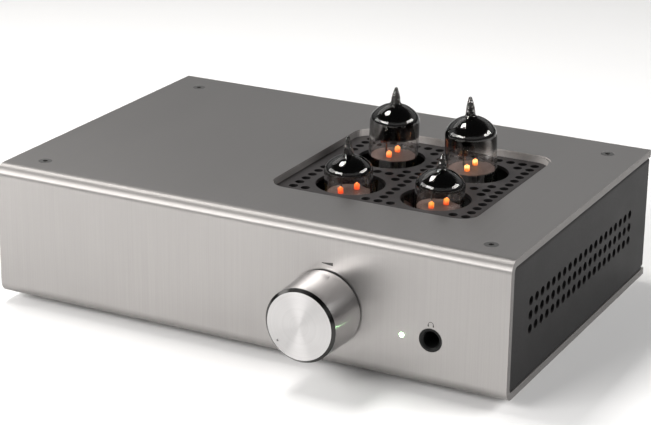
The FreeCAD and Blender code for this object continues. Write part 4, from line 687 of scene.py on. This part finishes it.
def tip_shade_beads(name):
    """A string of dark, bright-edged metal beads inside the glass tip: painted shade that darkens the
    tip.
    """
    crown = BULBS[name][1] * MM
    place = bulb_place(name)
    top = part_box(f"valve_{name}_glass")[1].z
    lean = math.radians(BULBS[name][2])
    length = (top - place.translation.z) / math.cos(lean) - crown - SEAT_GAP
    outline = []
    for at, radius in BEADS:
        for i in range(BEAD_STEPS + 1):
            a = math.radians(BEAD_HALF * (2 * i / BEAD_STEPS - 1))
            r = radius * MM
            up = r * math.sin(a) * length / BEADS_FIT
            outline.append((r * math.cos(a), crown + SEAT_GAP + at * length + up))
    outline = [(0.0, outline[0][1])] + outline + [(0.0, outline[-1][1])]
    points, faces = lathe(outline, Vector((0, 0, 0)), turns=32)
    points = [place @ p for p in points]
    made = Finish("tip_beads_" + name, Metallic=1.0, Specular_Tint=rgba((0.15, 0.14, 0.13)))
    cloud = made.noise(made.place(), 1.3, 2.0)
    spread = made.span(cloud, 0.35, 0.65)
    # Painted shade: the beads' dark colour makes the clear tip read dark.
    made.tint(spread, (0.02, 0.018, 0.017), (0.06, 0.056, 0.052))
    made.drive("Roughness", made.spread(cloud, 0.04, 0.16))
    made.bump(cloud, 0.25)
    return piece(f"valve_{name}_tip_beads", points, faces, made.mat,
                 f"valve_{name}")


def heater_tips(name):
    """Bright ends of the two heaters, standing out of the upper mica."""
    mica, turn = HEATERS[name]
    place = bulb_place(name)
    root = mica * MM + TIP_ROOT
    a = math.radians(turn)
    across = Vector((math.cos(a), math.sin(a), 0.0)) * CATHODE_APART / 2
    outline = [(r * MM, z * MM) for r, z in TIP_OUTLINE]
    points = []
    faces = []
    for side in (-1, 1):
        more, sides = lathe(outline, across * side + Vector((0, 0, root)), turns=24)
        faces += [[i + len(points) for i in face] for face in sides]
        points += [place @ p for p in more]
    low = (place @ Vector((0, 0, root))).z
    material = glow(name, low, low + TIP_OUTLINE[-1][1] * MM)
    return piece(f"valve_{name}_heater_tips", points, faces, material,
                 f"valve_{name}")


def flat_print(name, outlines, material):
    """Thin ink on the front face from outlines of (x, z) points in millimetres."""
    points = []
    faces = []
    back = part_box("outer_wrap")[0].y
    for outline in outlines:
        n = len(outline)
        start = len(points)
        points += [Vector((x * MM, back, z * MM)) for x, z in outline]
        points += [Vector((x * MM, back - PRINT_T, z * MM)) for x, z in outline]
        faces.append([start + i for i in range(n)])
        faces.append([start + n + i for i in reversed(range(n))])
        for i in range(n):
            j = (i + 1) % n
            faces.append([start + i, start + j, start + n + j, start + n + i])
    return piece(name, points, faces, material, smooth=False)


def band(cx, cz, radius, width, start, end, steps=24):
    """Outline of part of a ring, angles in degrees from the right."""
    angles = [math.radians(start + (end - start) * i / steps) for i in range(steps + 1)]
    outer, inner = [[(cx + r * math.cos(a), cz + r * math.sin(a)) for a in angles]
                    for r in (radius + width / 2, radius - width / 2)]
    return outer + inner[::-1]


def prints():
    """The volume wedge over the knob, and the headphone sign over the socket."""
    ink = grained("ink", *INK).mat
    low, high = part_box("volume_knob")
    knob_x = (low.x + high.x) / 2 / MM
    knob_z = (low.z + high.z) / 2 / MM
    left, right, up, thin, thick = WEDGE
    left, right, level = knob_x + left, knob_x + right, knob_z + up
    wedge = [(left, level - thin / 2), (right, level - thick / 2),
             (right, level + thick / 2), (left, level + thin / 2)]
    flat_print("volume_wedge_print", [wedge], ink)
    socket = next(m for m in frame["record"]["mounts"] if m["name"] == "headphone_socket")["pos_m"]
    cx, cz, r = socket[0] / MM, socket[2] / MM + PHONES_UP, PHONES_W / 2
    half, foot, head = EAR
    ears = []
    for middle in (cx - r, cx + r):
        ears.append([(middle - half, cz - foot), (middle + half, cz - foot),
                     (middle + half, cz - head), (middle - half, cz - head)])
    flat_print("headphone_sign_print", [band(cx, cz, r, PHONES_BAND, 0, 180)] + ears, ink)


# ---- stage ----------------------------------------------------------------------------------
def direction(turn, rise):
    """Unit vector from the object towards a place round and above it; turn 0 is the front."""
    a, e = math.radians(turn), math.radians(rise)
    return Vector((math.sin(a) * math.cos(e), -math.cos(a) * math.cos(e), math.sin(e)))


def camera():
    data = bpy.data.cameras.new("camera")
    data.sensor_width = SENSOR_WIDTH
    data.lens = CAMERA_LENS
    data.clip_start, data.clip_end = CLIP
    made = bpy.data.objects.new("camera", data)
    bpy.context.scene.collection.objects.link(made)
    back = direction(CAMERA_TURN, CAMERA_RISE)
    right = (-back).cross(Vector((0, 0, 1))).normalized()
    up = right.cross(-back)
    roll = math.radians(CAMERA_ROLL)
    tilted_right = right * math.cos(roll) + up * math.sin(roll)
    tilted_up = up * math.cos(roll) - right * math.sin(roll)
    turned = Matrix((tilted_right, tilted_up, back)).transposed().to_4x4()
    aim = CAMERA_AIM + Vector((0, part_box("outer_wrap")[0].y, 0))
    made.matrix_world = Matrix.Translation(aim + back * CAMERA_FAR) @ turned
    bpy.context.scene.camera = made


def lights():
    low, high = cad_box
    centre = (low + high) / 2
    for name, turn, rise, far, width, height, radiance, colour in LIGHTS:
        data = bpy.data.lights.new(name, "AREA")
        data.shape = "RECTANGLE"
        data.size = width
        data.size_y = height
        data.energy = radiance * width * height * math.pi
        data.color = colour
        made = bpy.data.objects.new(name, data)
        bpy.context.scene.collection.objects.link(made)
        towards = direction(turn, rise)
        made.location = centre + towards * far
        made.rotation_mode = "QUATERNION"
        made.rotation_quaternion = towards.to_track_quat("Z", "Y")


def floor():
    half = FLOOR_SIDE / 2
    mesh = bpy.data.meshes.new("floor")
    corners = [(-half, -half, 0), (half, -half, 0), (half, half, 0), (-half, half, 0)]
    mesh.from_pydata(corners, [], [(0, 1, 2, 3)])
    made = Finish("pale_floor", Roughness=0.8)
    mottle = made.noise(made.place(), 0.01, 3.0)
    made.tint(mottle, (0.86, 0.86, 0.86), (0.88, 0.88, 0.88))
    mesh.materials.append(made.mat)
    plane = bpy.data.objects.new("floor", mesh)
    bpy.context.scene.collection.objects.link(plane)


def world():
    """Soft surroundings that change only with height: dim low down, bright in a band a little above
    level, dark overhead.
    """
    made = bpy.data.worlds.new("studio")
    made.use_nodes = True
    bpy.context.scene.world = made
    nodes = made.node_tree.nodes
    links = made.node_tree.links
    back = nodes["Background"]
    where = nodes.new("ShaderNodeTexCoord")
    part = nodes.new("ShaderNodeSeparateXYZ")
    links.new(where.outputs["Generated"], part.inputs[0])
    ramp = nodes.new("ShaderNodeValToRGB")
    links.new(part.outputs["Z"], ramp.inputs[0])
    knots = ramp.color_ramp.elements
    knots.remove(knots[-1])
    knots[0].color = (SURROUNDINGS[0][1],) * 3 + (1.0,)
    for position, value in SURROUNDINGS[1:]:
        knots.new(position).color = (value,) * 3 + (1.0,)
    links.new(ramp.outputs["Color"], back.inputs["Color"])
    back.inputs["Strength"].default_value = 1.0


# ---- build ----------------------------------------------------------------------------------
camera()
lights()
floor()
world()
bpy.context.scene.view_settings.view_transform = "Standard"
dress_nodes(finishes())
prints()
for valve in VALVES:
    getter(valve)
    tip_shade_beads(valve)
    heater_tips(valve)
